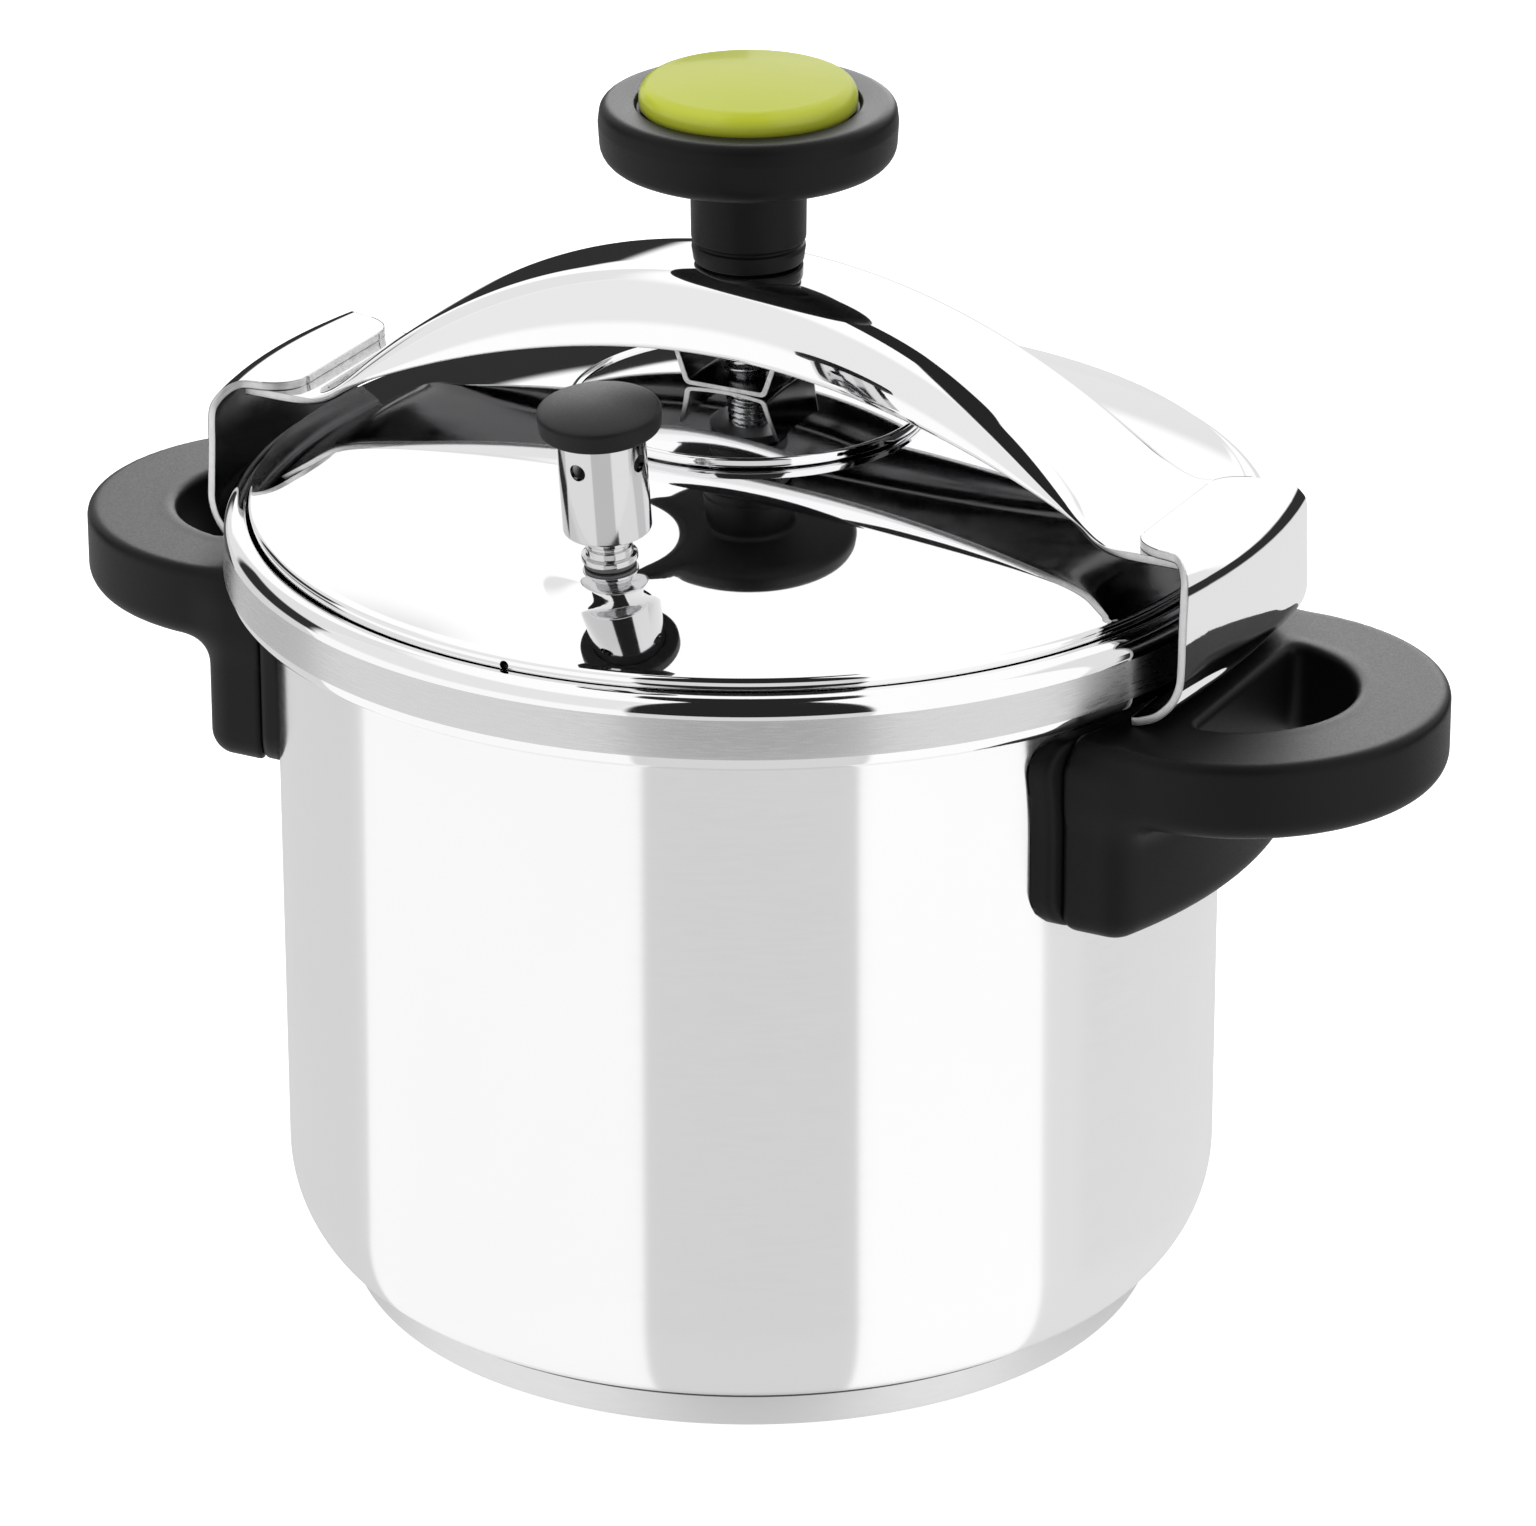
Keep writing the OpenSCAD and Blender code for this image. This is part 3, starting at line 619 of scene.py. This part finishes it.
def grip_field(x, y, z):
    from_pot = np.hypot(x, y)
    from_loop = np.hypot(x - LOOP_X, y)
    middle = GRIP_TOP - GRIP_T / 2
    edge = np.where(z > middle, 2.2, 5.0)
    disc = rounded_block([from_loop - LOOP_R, np.abs(z - middle) - GRIP_T / 2], edge)
    slab_mid, slab_half = (GRIP_TOP - 3 + GRIP_LOW) / 2, (GRIP_TOP - 3 - GRIP_LOW) / 2
    slab = rounded_block([from_pot - SLAB_R, np.abs(y) - SLAB_W, np.abs(z - slab_mid) - slab_half], 5.5)
    solid = smooth_min(disc, slab, 7)
    above_slab = np.where(from_pot < SLAB_R + 1, HOLE_LOW - z, -9)
    hole = smooth_max(smooth_max(from_loop - HOLE_R, HOLE_X - x, 4), above_slab, 1)
    collar = rounded_block([from_loop - HOLE_R - 4, HOLE_X - 3 - x, np.abs(z - middle + 2) - GRIP_T / 2], 1.5)
    solid = smooth_min(solid, collar, 3)
    solid = smooth_max(solid, -hole, 2.4)
    pocket = smooth_max(from_pot - POCKET_R, smooth_max(np.abs(y) - POCKET_W, POCKET_Z - z, 2), 2)
    solid = smooth_max(solid, -pocket, 1.6)
    bore = np.maximum(np.hypot(x - SCREW_X, y) - 5.5, z - GRIP_LOW - 6)
    slot = np.maximum(np.maximum(x - SCREW_X - 2.8, np.abs(y) - LUG_W), np.abs(z - LUG_Z) - LUG_H)
    solid = smooth_max(solid, -np.minimum(bore, slot), 0.8)
    return smooth_max(solid, SADDLE_R + 0.15 - from_pot, 1.4)


def saddle_field(x, y, z):
    from_pot = np.hypot(x, y)
    wider = 2.2 * np.clip((z - 145) / 24, 0, 1) ** 2
    middle, half = (GRIP_TOP + GRIP_LOW) / 2, (GRIP_TOP - GRIP_LOW) / 2 - 0.6
    face = rounded_block([np.abs(y) - SLAB_W - 2.6 - wider, np.abs(z - middle) - half], 9)
    solid = smooth_max(face, from_pot - SADDLE_R, 1.6)
    pocket = smooth_max(np.abs(y) - POCKET_W, POCKET_Z - z, 2)
    solid = smooth_max(solid, -pocket, 1)
    bracket = np.maximum(from_pot - POT_R - 2, np.maximum(np.abs(y) - 20.4, np.abs(z - LUG_Z) - 9.4))
    lug = np.maximum(np.abs(y) - LUG_W, np.abs(z - LUG_Z) - LUG_H)
    solid = np.maximum(solid, -np.minimum(bracket, lug))
    return np.maximum(solid, POT_R + 0.05 - from_pot)


def make_handles():
    shapes = [
        ("grip", grip_field,
         (SADDLE_R * 0.85, -SLAB_W - 1, GRIP_LOW), (LOOP_X + LOOP_R, SLAB_W + 1, GRIP_TOP), 0.9),
        ("saddle", saddle_field,
         (POT_R * 0.85, -SLAB_W - 6, GRIP_LOW), (SADDLE_R, SLAB_W + 6, GRIP_TOP), 0.7),
    ]
    for word, field, low, high, step in shapes:
        verts, faces = surface_net(field, low, high, step)
        for side, turn in (("right", 0), ("left", math.pi)):
            place = Matrix.Rotation(turn, 4, "Z")
            make_piece(f"{word}_moulding_{side}", verts, faces, "pot", [BAKELITE],
                       [f"{word}_{side}"], place, sharp=50)


# ---- Lid and valve ----

LID_TOP = top_of("lid_shell")
DOME_R = 300.0
DOME_Z = LID_TOP - DOME_R
LID_EDGE_R, LID_ROLL_R, LID_T, LID_SKIRT_Z = 116.6, 1.25, 1.1, 188.0
VALVE_X, VALVE_Y, VALVE_LEAN = 8.2, -82.3, 7.0
VALVE_Z = DOME_Z + math.sqrt(DOME_R ** 2 - VALVE_X ** 2 - VALVE_Y ** 2)
ON_VALVE = (Matrix.Translation(Vector((VALVE_X, VALVE_Y, VALVE_Z)) * MM)
            @ Matrix.Rotation(math.radians(VALVE_LEAN), 4, "X"))
SEAT_FLAT, SEAT_OUT, SEAT_BACK, SEAT_RISE = 6.5, 17.0, 11.0, 0.2
SAFETY_HOLE_R, SAFETY_HOLE_Z = 1.1, 194.4


def dome(radius, r0, r1, steps):
    return [(r, DOME_Z + math.sqrt(radius ** 2 - r * r)) for r in np.linspace(r0, r1, steps)]


def make_lid():
    roll_x = LID_EDGE_R - LID_ROLL_R
    roll_z = DOME_Z + math.sqrt(DOME_R ** 2 - roll_x ** 2) - LID_ROLL_R
    outline = (dome(DOME_R, 0, roll_x - 0.4, 150) + arc(roll_x, roll_z, LID_ROLL_R, LID_ROLL_R, 68, 0, 20)
               + [(LID_EDGE_R, LID_SKIRT_Z + 0.4), (LID_EDGE_R - 0.3, LID_SKIRT_Z),
                  (LID_EDGE_R - LID_T + 0.3, LID_SKIRT_Z), (LID_EDGE_R - LID_T, LID_SKIRT_Z + 0.4)]
               + arc(roll_x, roll_z, LID_ROLL_R - LID_T, LID_ROLL_R - LID_T, 0, 72, 14)
               + dome(DOME_R - LID_T, roll_x - 0.4, 0, 60))
    lid = lathe("lid_dome", outline, "lid", [LID_STEEL], ["lid_shell"], 420, closed=False)
    # Flat seat pressed into the dome, square to the valve's axis; it blends out further towards the middle
    away = ON_VALVE.inverted()
    up = ON_VALVE.to_3x3() @ Vector((0, 0, 1))
    for vertex in lid.data.vertices:
        local = away @ vertex.co / MM
        if abs(local.z) > 9 or vertex.co.z < 0.2:
            continue
        far = math.hypot(local.x, local.y)
        out = SEAT_OUT + SEAT_BACK * max(0, local.y / max(far, 0.01)) ** 1.5
        t = min(max((out - far) / (out - SEAT_FLAT), 0), 1)
        outer = (vertex.co / MM - Vector((0, 0, DOME_Z))).length > DOME_R - LID_T / 2
        top = SEAT_RISE if outer else SEAT_RISE - LID_T
        vertex.co += up * ((top - local.z) * MM * t * t * (3 - 2 * t))
    hole = (Matrix.Translation(Vector((0, -LID_EDGE_R, SAFETY_HOLE_Z)) * MM)
            @ Matrix.Rotation(math.pi / 2, 4, "X"))
    drill(lid, [cutter(SAFETY_HOLE_R, 10, hole)])


SLEEVE_R, SLEEVE_LOW, SLEEVE_TOP, SLEEVE_T = 10.0, 9.2, 37.0, 1.1
CAP_LOW, VALVE_CAP_R = 34.2, 14.0
SPRING_LOW = 25.1
PORT_R, PORT_Z, PORT_TURN = 2, 27.4, -5


def make_valve():
    stem = rounded([(1.6, -14), (5, -14, 0.4), (5, 1.6), (6.4, 1.6, 0.2), (6.4, 2.9, 0.4), (5.3, 3.3, 0.3),
                    (5.3, 4.8, 0.3), (4.6, 5.1, 0.3), (4.6, 5.8, 0.3), (5.3, 6.1, 0.3), (5.3, 9, 0.3),
                    (3.6, 9), (3.6, 20, 0.5), (2.6, 22, 0.2), (1.6, 22)])
    lathe("turned_stem", stem, "lid", [VALVE_STEEL], ["valve_stem"], 128, ON_VALVE)
    washer = rounded([(5.05, 0.6), (5.9, 0.6), (5.9, 1.65, 0.2), (5.05, 1.65)])
    lathe("flat_washer", washer, "lid", [RUBBER], ["valve_washer"], 96, ON_VALVE)
    sleeve = rounded([(3.7, SLEEVE_LOW), (SLEEVE_R, SLEEVE_LOW, 0.6), (SLEEVE_R, SLEEVE_TOP, 0.3),
                      (SLEEVE_R - SLEEVE_T, SLEEVE_TOP, 0.3), (SLEEVE_R - SLEEVE_T, SLEEVE_LOW + 3, 0.5),
                      (3.7, SLEEVE_LOW + 3)])
    body = lathe("turned_sleeve", sleeve, "valve", [VALVE_STEEL], ["valve_sleeve"], 192,
                 ON_VALVE)
    ports = []
    for turn in range(PORT_TURN, PORT_TURN + 360, 90):
        aim = Matrix.Rotation(math.radians(turn), 4, "Z") @ Matrix.Rotation(math.pi / 2, 4, "Y")
        ports.append(cutter(PORT_R, 6, ON_VALVE @ Matrix.Translation((0, 0, PORT_Z * MM)) @ aim
                            @ Matrix.Translation((0, 0, SLEEVE_R * MM))))
    drill(body, ports)
    side, rise = CAP_LOW + 4.0, 1.5
    ball = ((VALVE_CAP_R - 1.4) ** 2 + rise ** 2) / (2 * rise)
    crown = [(r, side + 1 + rise - ball + math.sqrt(ball ** 2 - r * r))
             for r in np.linspace(VALVE_CAP_R - 1.4, 0, 24)]
    skirt = rounded([(SLEEVE_R, SLEEVE_TOP), (SLEEVE_R, CAP_LOW, 0.3), (VALVE_CAP_R - 0.3, CAP_LOW, 0.8),
                     (VALVE_CAP_R, side + 0.6, 1.1), (VALVE_CAP_R - 1.4, side + 1)], closed=False)
    cap = [(0, SLEEVE_TOP), (SLEEVE_R, SLEEVE_TOP)] + skirt[1:] + crown[1:]
    lathe("moulded_valve_cap", cap, "valve", [CAP_BLACK], ["valve_cap"], 192, ON_VALVE,
          closed=False, sharp=50)
    plunger = rounded([(0, 22.1), (8.8, 22.1, 0.5), (8.8, SPRING_LOW, 0.5), (2.5, SPRING_LOW, 0.3),
                       (2.5, 32.5, 0.4), (0, 32.5)], closed=False)
    lathe("turned_plunger", plunger, "plunger", [ZINC_STEEL], ["valve_plunger"], 96, ON_VALVE,
          closed=False)
    make_spring()


def make_spring():
    wire, coil, turns, around = 0.7, 5.75, 6, 10
    steps = turns * 40
    rise = SLEEVE_TOP - SPRING_LOW - 2 * wire
    verts = []
    for i in range(steps + 1):
        a = TURN * turns * i / steps
        centre = Vector((coil * math.cos(a), coil * math.sin(a), SPRING_LOW + wire + rise * i / steps))
        out = Vector((math.cos(a), math.sin(a), 0))
        for k in range(around):
            b = TURN * k / around
            verts.append(centre + out * wire * math.cos(b) + Vector((0, 0, wire * math.sin(b))))
    faces = ring_quads(steps, around)
    faces.append(tuple(range(around)))
    faces.append(tuple(steps * around + k for k in range(around)))
    spring = make_piece("coil_spring", verts, faces, "valve", [SPRING_STEEL],
                        ["valve_spring"], ON_VALVE)
    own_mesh(spring)


# ---- Bridge: arch and hooks ----

BRIDGE_T = 2.0
ARCH_R, ARCH_TOP, ARCH_END = 140.0, 252.5, 44.0
CHANNEL = 17.0
BUSH_R = 9.0
HOOK_Z, HOOK_X = 211.0, 131.0
FOOT_Z = HOOK_Z - BRIDGE_T - 0.03
EDGE_R = 0.35
# Material slots of a bent sheet; INSIDE faces, the sheet's underside, get the painted-shade steel.
POLISHED, CUT, INSIDE = 0, 1, 2

# A station is x, z, half width, channel depth, flat share of the width, outward bulge
FOOT = [(100.4, 210.9, 24, 1.3, 0.75, 0), (103.4, 209.5, 24.4, 0.8, 0.75, 0),
        (106.8, FOOT_Z + 0.1, 24.8, 0.3, 0.75, 0), (111, FOOT_Z, 25, 0.02, 0.75, 0),
        (122, FOOT_Z, 25, 0.02, 0.75, 0)]
HOOK = [
    (109, HOOK_Z, 17, 0, 0.75, 0),
    (109.6, HOOK_Z, 19.8, 0, 0.75, 0),
    (111, HOOK_Z, 22.3, 0, 0.75, 0),
    (113.4, HOOK_Z, 24.3, 0, 0.75, 0),
    (116.5, HOOK_Z, 25.6, 0, 0.75, 0.1),
    (120, HOOK_Z, 26.1, 0, 0.75, 0.6),
    (124, HOOK_Z - 0.1, 27, 0, 0.75, 2),
    (HOOK_X - 3.4, HOOK_Z - 1.2, 29, 0, 0.75, 3.2),
    (HOOK_X - 1, HOOK_Z - 3.6, 31, 0, 0.75, 3.6),
    (HOOK_X, HOOK_Z - 7, 32.5, 0, 0.75, 3.7),
    (HOOK_X, 196, 33, 0, 0.75, 3.7),
    (HOOK_X, 187, 33.5, 0, 0.75, 3.6),
    (HOOK_X - 0.6, 182, 34, 0, 0.75, 3.3),
    (HOOK_X - 3.6, 177.6, 34.5, 0, 0.75, 2.2),
    (122.6, 174, 35, 0, 0.75, 1),
    (117.8, 172.2, 35, 0, 0.75, 0.3),
    (115.2, 171.72, 35, 0, 0.75, 0),
]


def through(keys, per_span):
    """Smooth curve through key stations, with per_span steps between two of them."""
    keys = np.array(keys, float)
    ends = np.vstack([2 * keys[0] - keys[1], keys, 2 * keys[-1] - keys[-2]])
    out = []
    for i in range(1, len(ends) - 2):
        p0, p1, p2, p3 = ends[i - 1:i + 3]
        for t in np.arange(per_span) / per_span:
            out.append(0.5 * (2 * p1 + (p2 - p0) * t + (2 * p0 - 5 * p1 + 4 * p2 - p3) * t ** 2
                              + (3 * p1 - p0 - 3 * p2 + p3) * t ** 3))
    return out + [keys[-1]]


def arch_half():
    keys = []
    for angle in np.linspace(0, ARCH_END, 89):
        share = (angle / 46) ** 2.3
        a = math.radians(angle)
        keys.append((ARCH_R * math.sin(a), ARCH_TOP - ARCH_R + ARCH_R * math.cos(a), 20 + 3.5 * share,
                     CHANNEL * (1 - share), 0.45 + 0.3 * share, 0))
    return [np.array(k) for k in keys[:-6]] + through(keys[-6::5] + FOOT, 7)


def section(station, shrink):
    """Closed outline of a bent sheet's section as ((across, up), kind of surface) rows."""
    _, _, w, depth, flat, _ = station
    w = w - shrink
    side = (1 - flat) * w
    turns = [(-1, t) for t in np.linspace(90, 0, 15)] + [(0, s) for s in np.linspace(-1, 1, 9)[1:-1]]
    turns += [(1, t) for t in np.linspace(0, 90, 15)]
    line, normals = [], []
    for where, t in turns:
        if where:
            a = math.radians(t)
            y, drop = where * (flat * w + side * math.sin(a)), depth * (1 - math.cos(a))
            n = np.array((where * depth * math.sin(a), side * math.cos(a) + 1))
        else:
            y, drop, n = t * flat * w, 0, np.array((0.0, 1.0))
        crown = 0.5 * (1 - (y / w) ** 2) * min(1, depth / 8)
        line.append(np.array((y, crown - drop)))
        normals.append(n / np.linalg.norm(n))
    thick = BRIDGE_T - 2 * shrink
    outer = [p - n * shrink for p, n in zip(line, normals)]
    inner = [p - n * (shrink + thick) for p, n in zip(line, normals)]
    r = min(EDGE_R, thick / 3)

    def edge(at, n, out):
        across = np.array((n[1], -n[0])) * out
        return [at - across * r, at - across * r * 0.3 - n * r * 0.3, at - n * r, at - n * (thick - r),
                at - across * r * 0.3 - n * (thick - r * 0.3), at - across * r - n * thick]

    right, left = edge(outer[-1], normals[-1], 1), edge(outer[0], normals[0], -1)[::-1]
    rows = [(p, POLISHED) for p in outer[1:-1]] + [(p, CUT) for p in right]
    return rows + [(p, INSIDE) for p in inner[-2:0:-1]] + [(p, CUT) for p in left]


def bent_sheet(name, stations, stands_for, turn=0.0):
    """A sheet swept along its stations, with rounded cut edges all round."""
    stations = [np.array(s, float) for s in stations]
    first, last = stations[0], stations[-1]
    ahead = (stations[1] - first)[:2]
    ahead /= np.linalg.norm(ahead)
    behind = (stations[-2] - last)[:2]
    behind /= np.linalg.norm(behind)

    def moved(station, direction, far):
        out = station.copy()
        out[:2] += direction * far
        return out

    path = [(first, EDGE_R), (moved(first, ahead, EDGE_R * 0.3), EDGE_R * 0.3),
            (moved(first, ahead, EDGE_R), 0)]
    clear = EDGE_R * 1.2
    path += [(s, 0) for s in stations
             if min(np.hypot(*(s - first)[:2]), np.hypot(*(s - last)[:2])) > clear]
    path += [(moved(last, behind, EDGE_R), 0), (moved(last, behind, EDGE_R * 0.3), EDGE_R * 0.3),
             (last, EDGE_R)]
    points = np.array([s[:2] for s, _ in path])
    verts, marks = [], None
    for i, (station, shrink) in enumerate(path):
        t = points[min(i + 1, len(path) - 1)] - points[max(i - 1, 0)]
        t = t / np.linalg.norm(t)
        out = 1 if station[0] > 0 else -1
        rows = section(station, shrink)
        marks = [kind for _, kind in rows]
        for (y, up), _ in rows:
            bulge = station[5] * (y / station[2]) ** 2
            verts.append((station[0] - t[1] * up - out * bulge, y, station[1] + t[0] * up))
    ring = len(marks)
    faces, slots = [], []
    for i in range(len(path) - 1):
        capped = i < 2 or i > len(path) - 4
        for k in range(ring):
            m = (k + 1) % ring
            faces.append((i * ring + k, i * ring + m, (i + 1) * ring + m, (i + 1) * ring + k))
            slots.append(CUT if capped else surface_between(marks[k], marks[m]))
    for start in (0, (len(path) - 1) * ring):
        for k in range(ring // 2 - 1):
            faces.append(cap_quad(start, k, ring))
            slots.append(CUT)
    return make_piece(name, verts, faces, "bridge", [BRIDGE_STEEL, CUT_STEEL, UNDERSIDE_SHADE_STEEL],
                      stands_for, Matrix.Rotation(turn, 4, "Z"), slots, 50)


def surface_between(one, other):
    """Kind of surface of a face between two points of a section, either of which may lie on the cut edge."""
    return one if one == other else min(one + other - CUT, INSIDE)


def cap_quad(start, k, ring):
    """Quad k of the strip that closes a sheet's end; its two halves face each other about the left edge."""
    a, b = start + (k - 3) % ring, start + (k - 2) % ring
    c, d = start + (ring - 5 - k) % ring, start + (ring - 4 - k) % ring
    return (a, b, c, d)


def make_bridge():
    half = arch_half()
    other = [s * np.array((-1, 1, 1, 1, 1, 1)) for s in half[:0:-1]]
    arch = bent_sheet("bridge_channel", other + half, ["bridge_arch"])
    # The exact solver turns this sheet inside out and leaves the cutter in it
    drill(arch, [cutter(BUSH_R, 20, Matrix.Translation((0, 0, ARCH_TOP * MM)))], "MANIFOLD")
    for side, turn in (("right", 0), ("left", math.pi)):
        bent_sheet(f"bridge_hook_{side}", through(HOOK, 7), [f"hook_{side}"], turn)


# ---- Pressure plate, yoke and spindle ----

PLATE_R = radius_of("pressure_plate")
PLATE_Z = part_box("pressure_plate")[0].z / MM
YOKE_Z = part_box("plate_yoke")[0].z / MM
YOKE_TOP = top_of("plate_yoke")
YOKE_W = 24.0
PLATE_APEX, PLATE_CURVE, PLATE_T = 224.9, 135.0, 1.6
RIM_FOOT = 217.1


def make_plate():
    """Domed plate whose rolled rim nearly touches the lid, with the strap welded on its middle."""
    def skin(r, down):
        return (r, PLATE_APEX - down - r * r / (2 * PLATE_CURVE))

    edge = PLATE_R - 1.2
    under = [skin(r, PLATE_T) for r in np.linspace(11.5, edge, 40)]
    over = [skin(r, 0) for r in np.linspace(edge - 0.6, 11, 60)]
    seat = rounded([(0, PLATE_Z), (11, PLATE_Z, 1), skin(11.5, PLATE_T), (30, 221)], closed=False)[:-1]
    rim_low, rim_high = RIM_FOOT, RIM_FOOT + 2.4
    rim = rounded([under[-1], (edge, rim_low + 0.2), (PLATE_R - 0.9, rim_low, 0.4),
                   (PLATE_R, rim_low + 0.3, 0.4), (PLATE_R - 0.15, rim_high - 0.2, 0.5),
                   (PLATE_R - 0.9, rim_high + 0.1, 0.4), over[0]], closed=False)
    well = rounded([over[-1], (10.4, PLATE_Z + 4.0, 0.5), (10.2, PLATE_Z + 1.8, 0.5), (0, PLATE_Z + 1.8)],
                   closed=False)
    outline = seat[:-1] + under[:-1] + rim + over[1:-1] + well
    lathe("pressed_plate", outline, "plate", [PLATE_STEEL], ["pressure_plate"], 256,
          closed=False)
    low, high, t = 10.5, 15.5, 1.0
    shape = rounded([(high, YOKE_TOP, 0.4), (low, YOKE_Z, 1.8), (-low, YOKE_Z, 1.8), (-high, YOKE_TOP, 0.4),
                     (-high + t, YOKE_TOP, 0.4), (-low + t, YOKE_Z + t, 1.0), (low - t, YOKE_Z + t, 1.0),
                     (high - t, YOKE_TOP, 0.4)])
    depths = [-YOKE_W / 2, -YOKE_W / 2 + 0.3, YOKE_W / 2 - 0.3, YOKE_W / 2]
    count = len(shape)
    verts = [(x, y, z) for y in depths for x, z in shape]
    faces = ring_quads(3, count)
    faces += [tuple(range(count)), tuple(3 * count + k for k in range(count))]
    # The strap's faces along its length get the painted-shade steel, its ends the cut steel.
    slots = [0 if i == 1 else 1 for i in range(3) for k in range(count)] + [1, 1]
    yoke = make_piece("plate_strap", verts, faces, "plate", [UNDERSIDE_SHADE_STEEL, CUT_STEEL],
                      ["plate_yoke"], slots=slots, sharp=30)
    drill(yoke, [cutter(4.55, 8, Matrix.Translation((0, 0, YOKE_Z * MM)))])


def make_spindle():
    """Spindle with a rolled thread of 3 mm pitch between its plain foot and the knob."""
    major, pitch, depth, around, per_turn = 6.0, 3.0, 1.1, 60, 14
    low, high = YOKE_Z + 1.6, 272.0
    foot = rounded([(0, PLATE_Z + 2), (3.8, PLATE_Z + 2, 0.6), (3.8, PLATE_Z + 4.2), (4.5, PLATE_Z + 4.2),
                    (4.5, low)], closed=False)
    shank = [(4, high), (4, 288), (3.4, 288.6), (0, 288.6)]
    rows = [(r, z, 0) for r, z in foot]
    rows += [(major, z, 1) for z in np.arange(low + 0.6, high - 0.6, pitch / per_turn)]
    rows += [(r, z, 0) for r, z in shank]
    angles = np.linspace(0, TURN, around, endpoint=False)
    verts = []
    for r, z, threaded in rows:
        for a in angles:
            phase = (z / pitch - a / TURN) % 1
            groove = max(0, abs(phase - 0.5) * 2 - 0.25) / 0.75
            fade = min(1, (z - low) / 3) if threaded else 0
            radius = r - depth * (1 - groove) * max(0, fade) if threaded else r
            verts.append((radius * math.cos(a), radius * math.sin(a), z))
    make_piece("threaded_spindle", verts, ring_quads(len(rows) - 1, around), "screw",
               [SPINDLE_STEEL], ["spindle"], sharp=60)


# ---- Knob ----

KNOB_R = radius_of("knob")
STEM_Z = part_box("knob")[0].z / MM
STEM_FOOT = ARCH_TOP + 0.5
CAP_R = radius_of("knob_cap")
CAP_TOP = top_of("knob_cap")


def make_knob():
    outline = rounded(
        [(6, STEM_Z), (9.6, STEM_Z), (9.6, STEM_FOOT), (12.7, STEM_FOOT, 0.6), (13.2, STEM_Z + 1.8, 0.4),
         (13.1, STEM_Z + 2.7, 0.3), (12.5, STEM_Z + 3.1, 0.3), (12.6, STEM_Z + 3.6, 0.3),
         (13.3, STEM_Z + 4.2, 0.5), (13.5, 276.7, 2.4), (KNOB_R - 0.6, 276.7, 8.5),
         (KNOB_R, 286.5, 3), (KNOB_R - 0.6, 291.3, 2.8), (26.2, 291, 0.5), (25.6, 289.6, 0.3),
         (10, 289.6), (10, 281), (4, 281), (4, 272), (6, 272)])
    lathe("moulded_knob", outline, "screw", [BAKELITE], ["knob"], 256, sharp=50)
    edge, rise = CAP_R - 3.2, 1.5
    shoulder = CAP_TOP - rise
    ball = (edge ** 2 + rise ** 2) / (2 * rise)
    crown = [(r, shoulder + rise - ball + math.sqrt(ball ** 2 - r * r)) for r in np.linspace(edge, 0, 28)]
    cap = [(0, 289.6), (24.4, 289.6), (CAP_R - 0.1, 290.3), (CAP_R, 291.6)]
    cap += arc(edge, 292.4, CAP_R - edge, shoulder - 292.4, 0, 84, 14) + crown
    lathe("moulded_cap", cap, "screw", [CAP_GREEN], ["knob_cap"], 256, closed=False, sharp=50)


# ---- CAD nodes that stay ----

KEPT = {
    "base_core": ALUMINIUM,
    "bracket_right": ZINC_STEEL,
    "bracket_left": ZINC_STEEL,
    "handle_screws": ZINC_STEEL,
    "lid_gasket": RUBBER,
    "inner_washer": RUBBER,
    "valve_nut": ZINC_STEEL,
    "spindle_bush": ZINC_STEEL,
    "thrust_ring": ZINC_STEEL,
    "spindle_clip": SPRING_STEEL,
    "knob_washer": ZINC_STEEL,
    "knob_nut": ZINC_STEEL,
}


def dress_kept_nodes():
    for name, material in KEPT.items():
        mesh = frame["nodes"][name].data
        mesh.materials.clear()
        mesh.materials.append(material)


bpy.context.scene.view_settings.view_transform = "Standard"
make_camera()
make_world()
make_floor()
area_light("key", CAMERA_AZIMUTH - 60, 55, 2.2, 1.4, 14)
make_pot()
make_handles()
make_lid()
make_valve()
make_bridge()
make_plate()
make_spindle()
make_knob()
dress_kept_nodes()
behind = area_light("behind", CAMERA_AZIMUTH + 172, 26, 1.6, 1.3, 17)
lit = ("grip_m", "moulded_knob", "moulded_valve")
link_light(behind, [piece for piece in bpy.data.objects if piece.name.startswith(lit)])
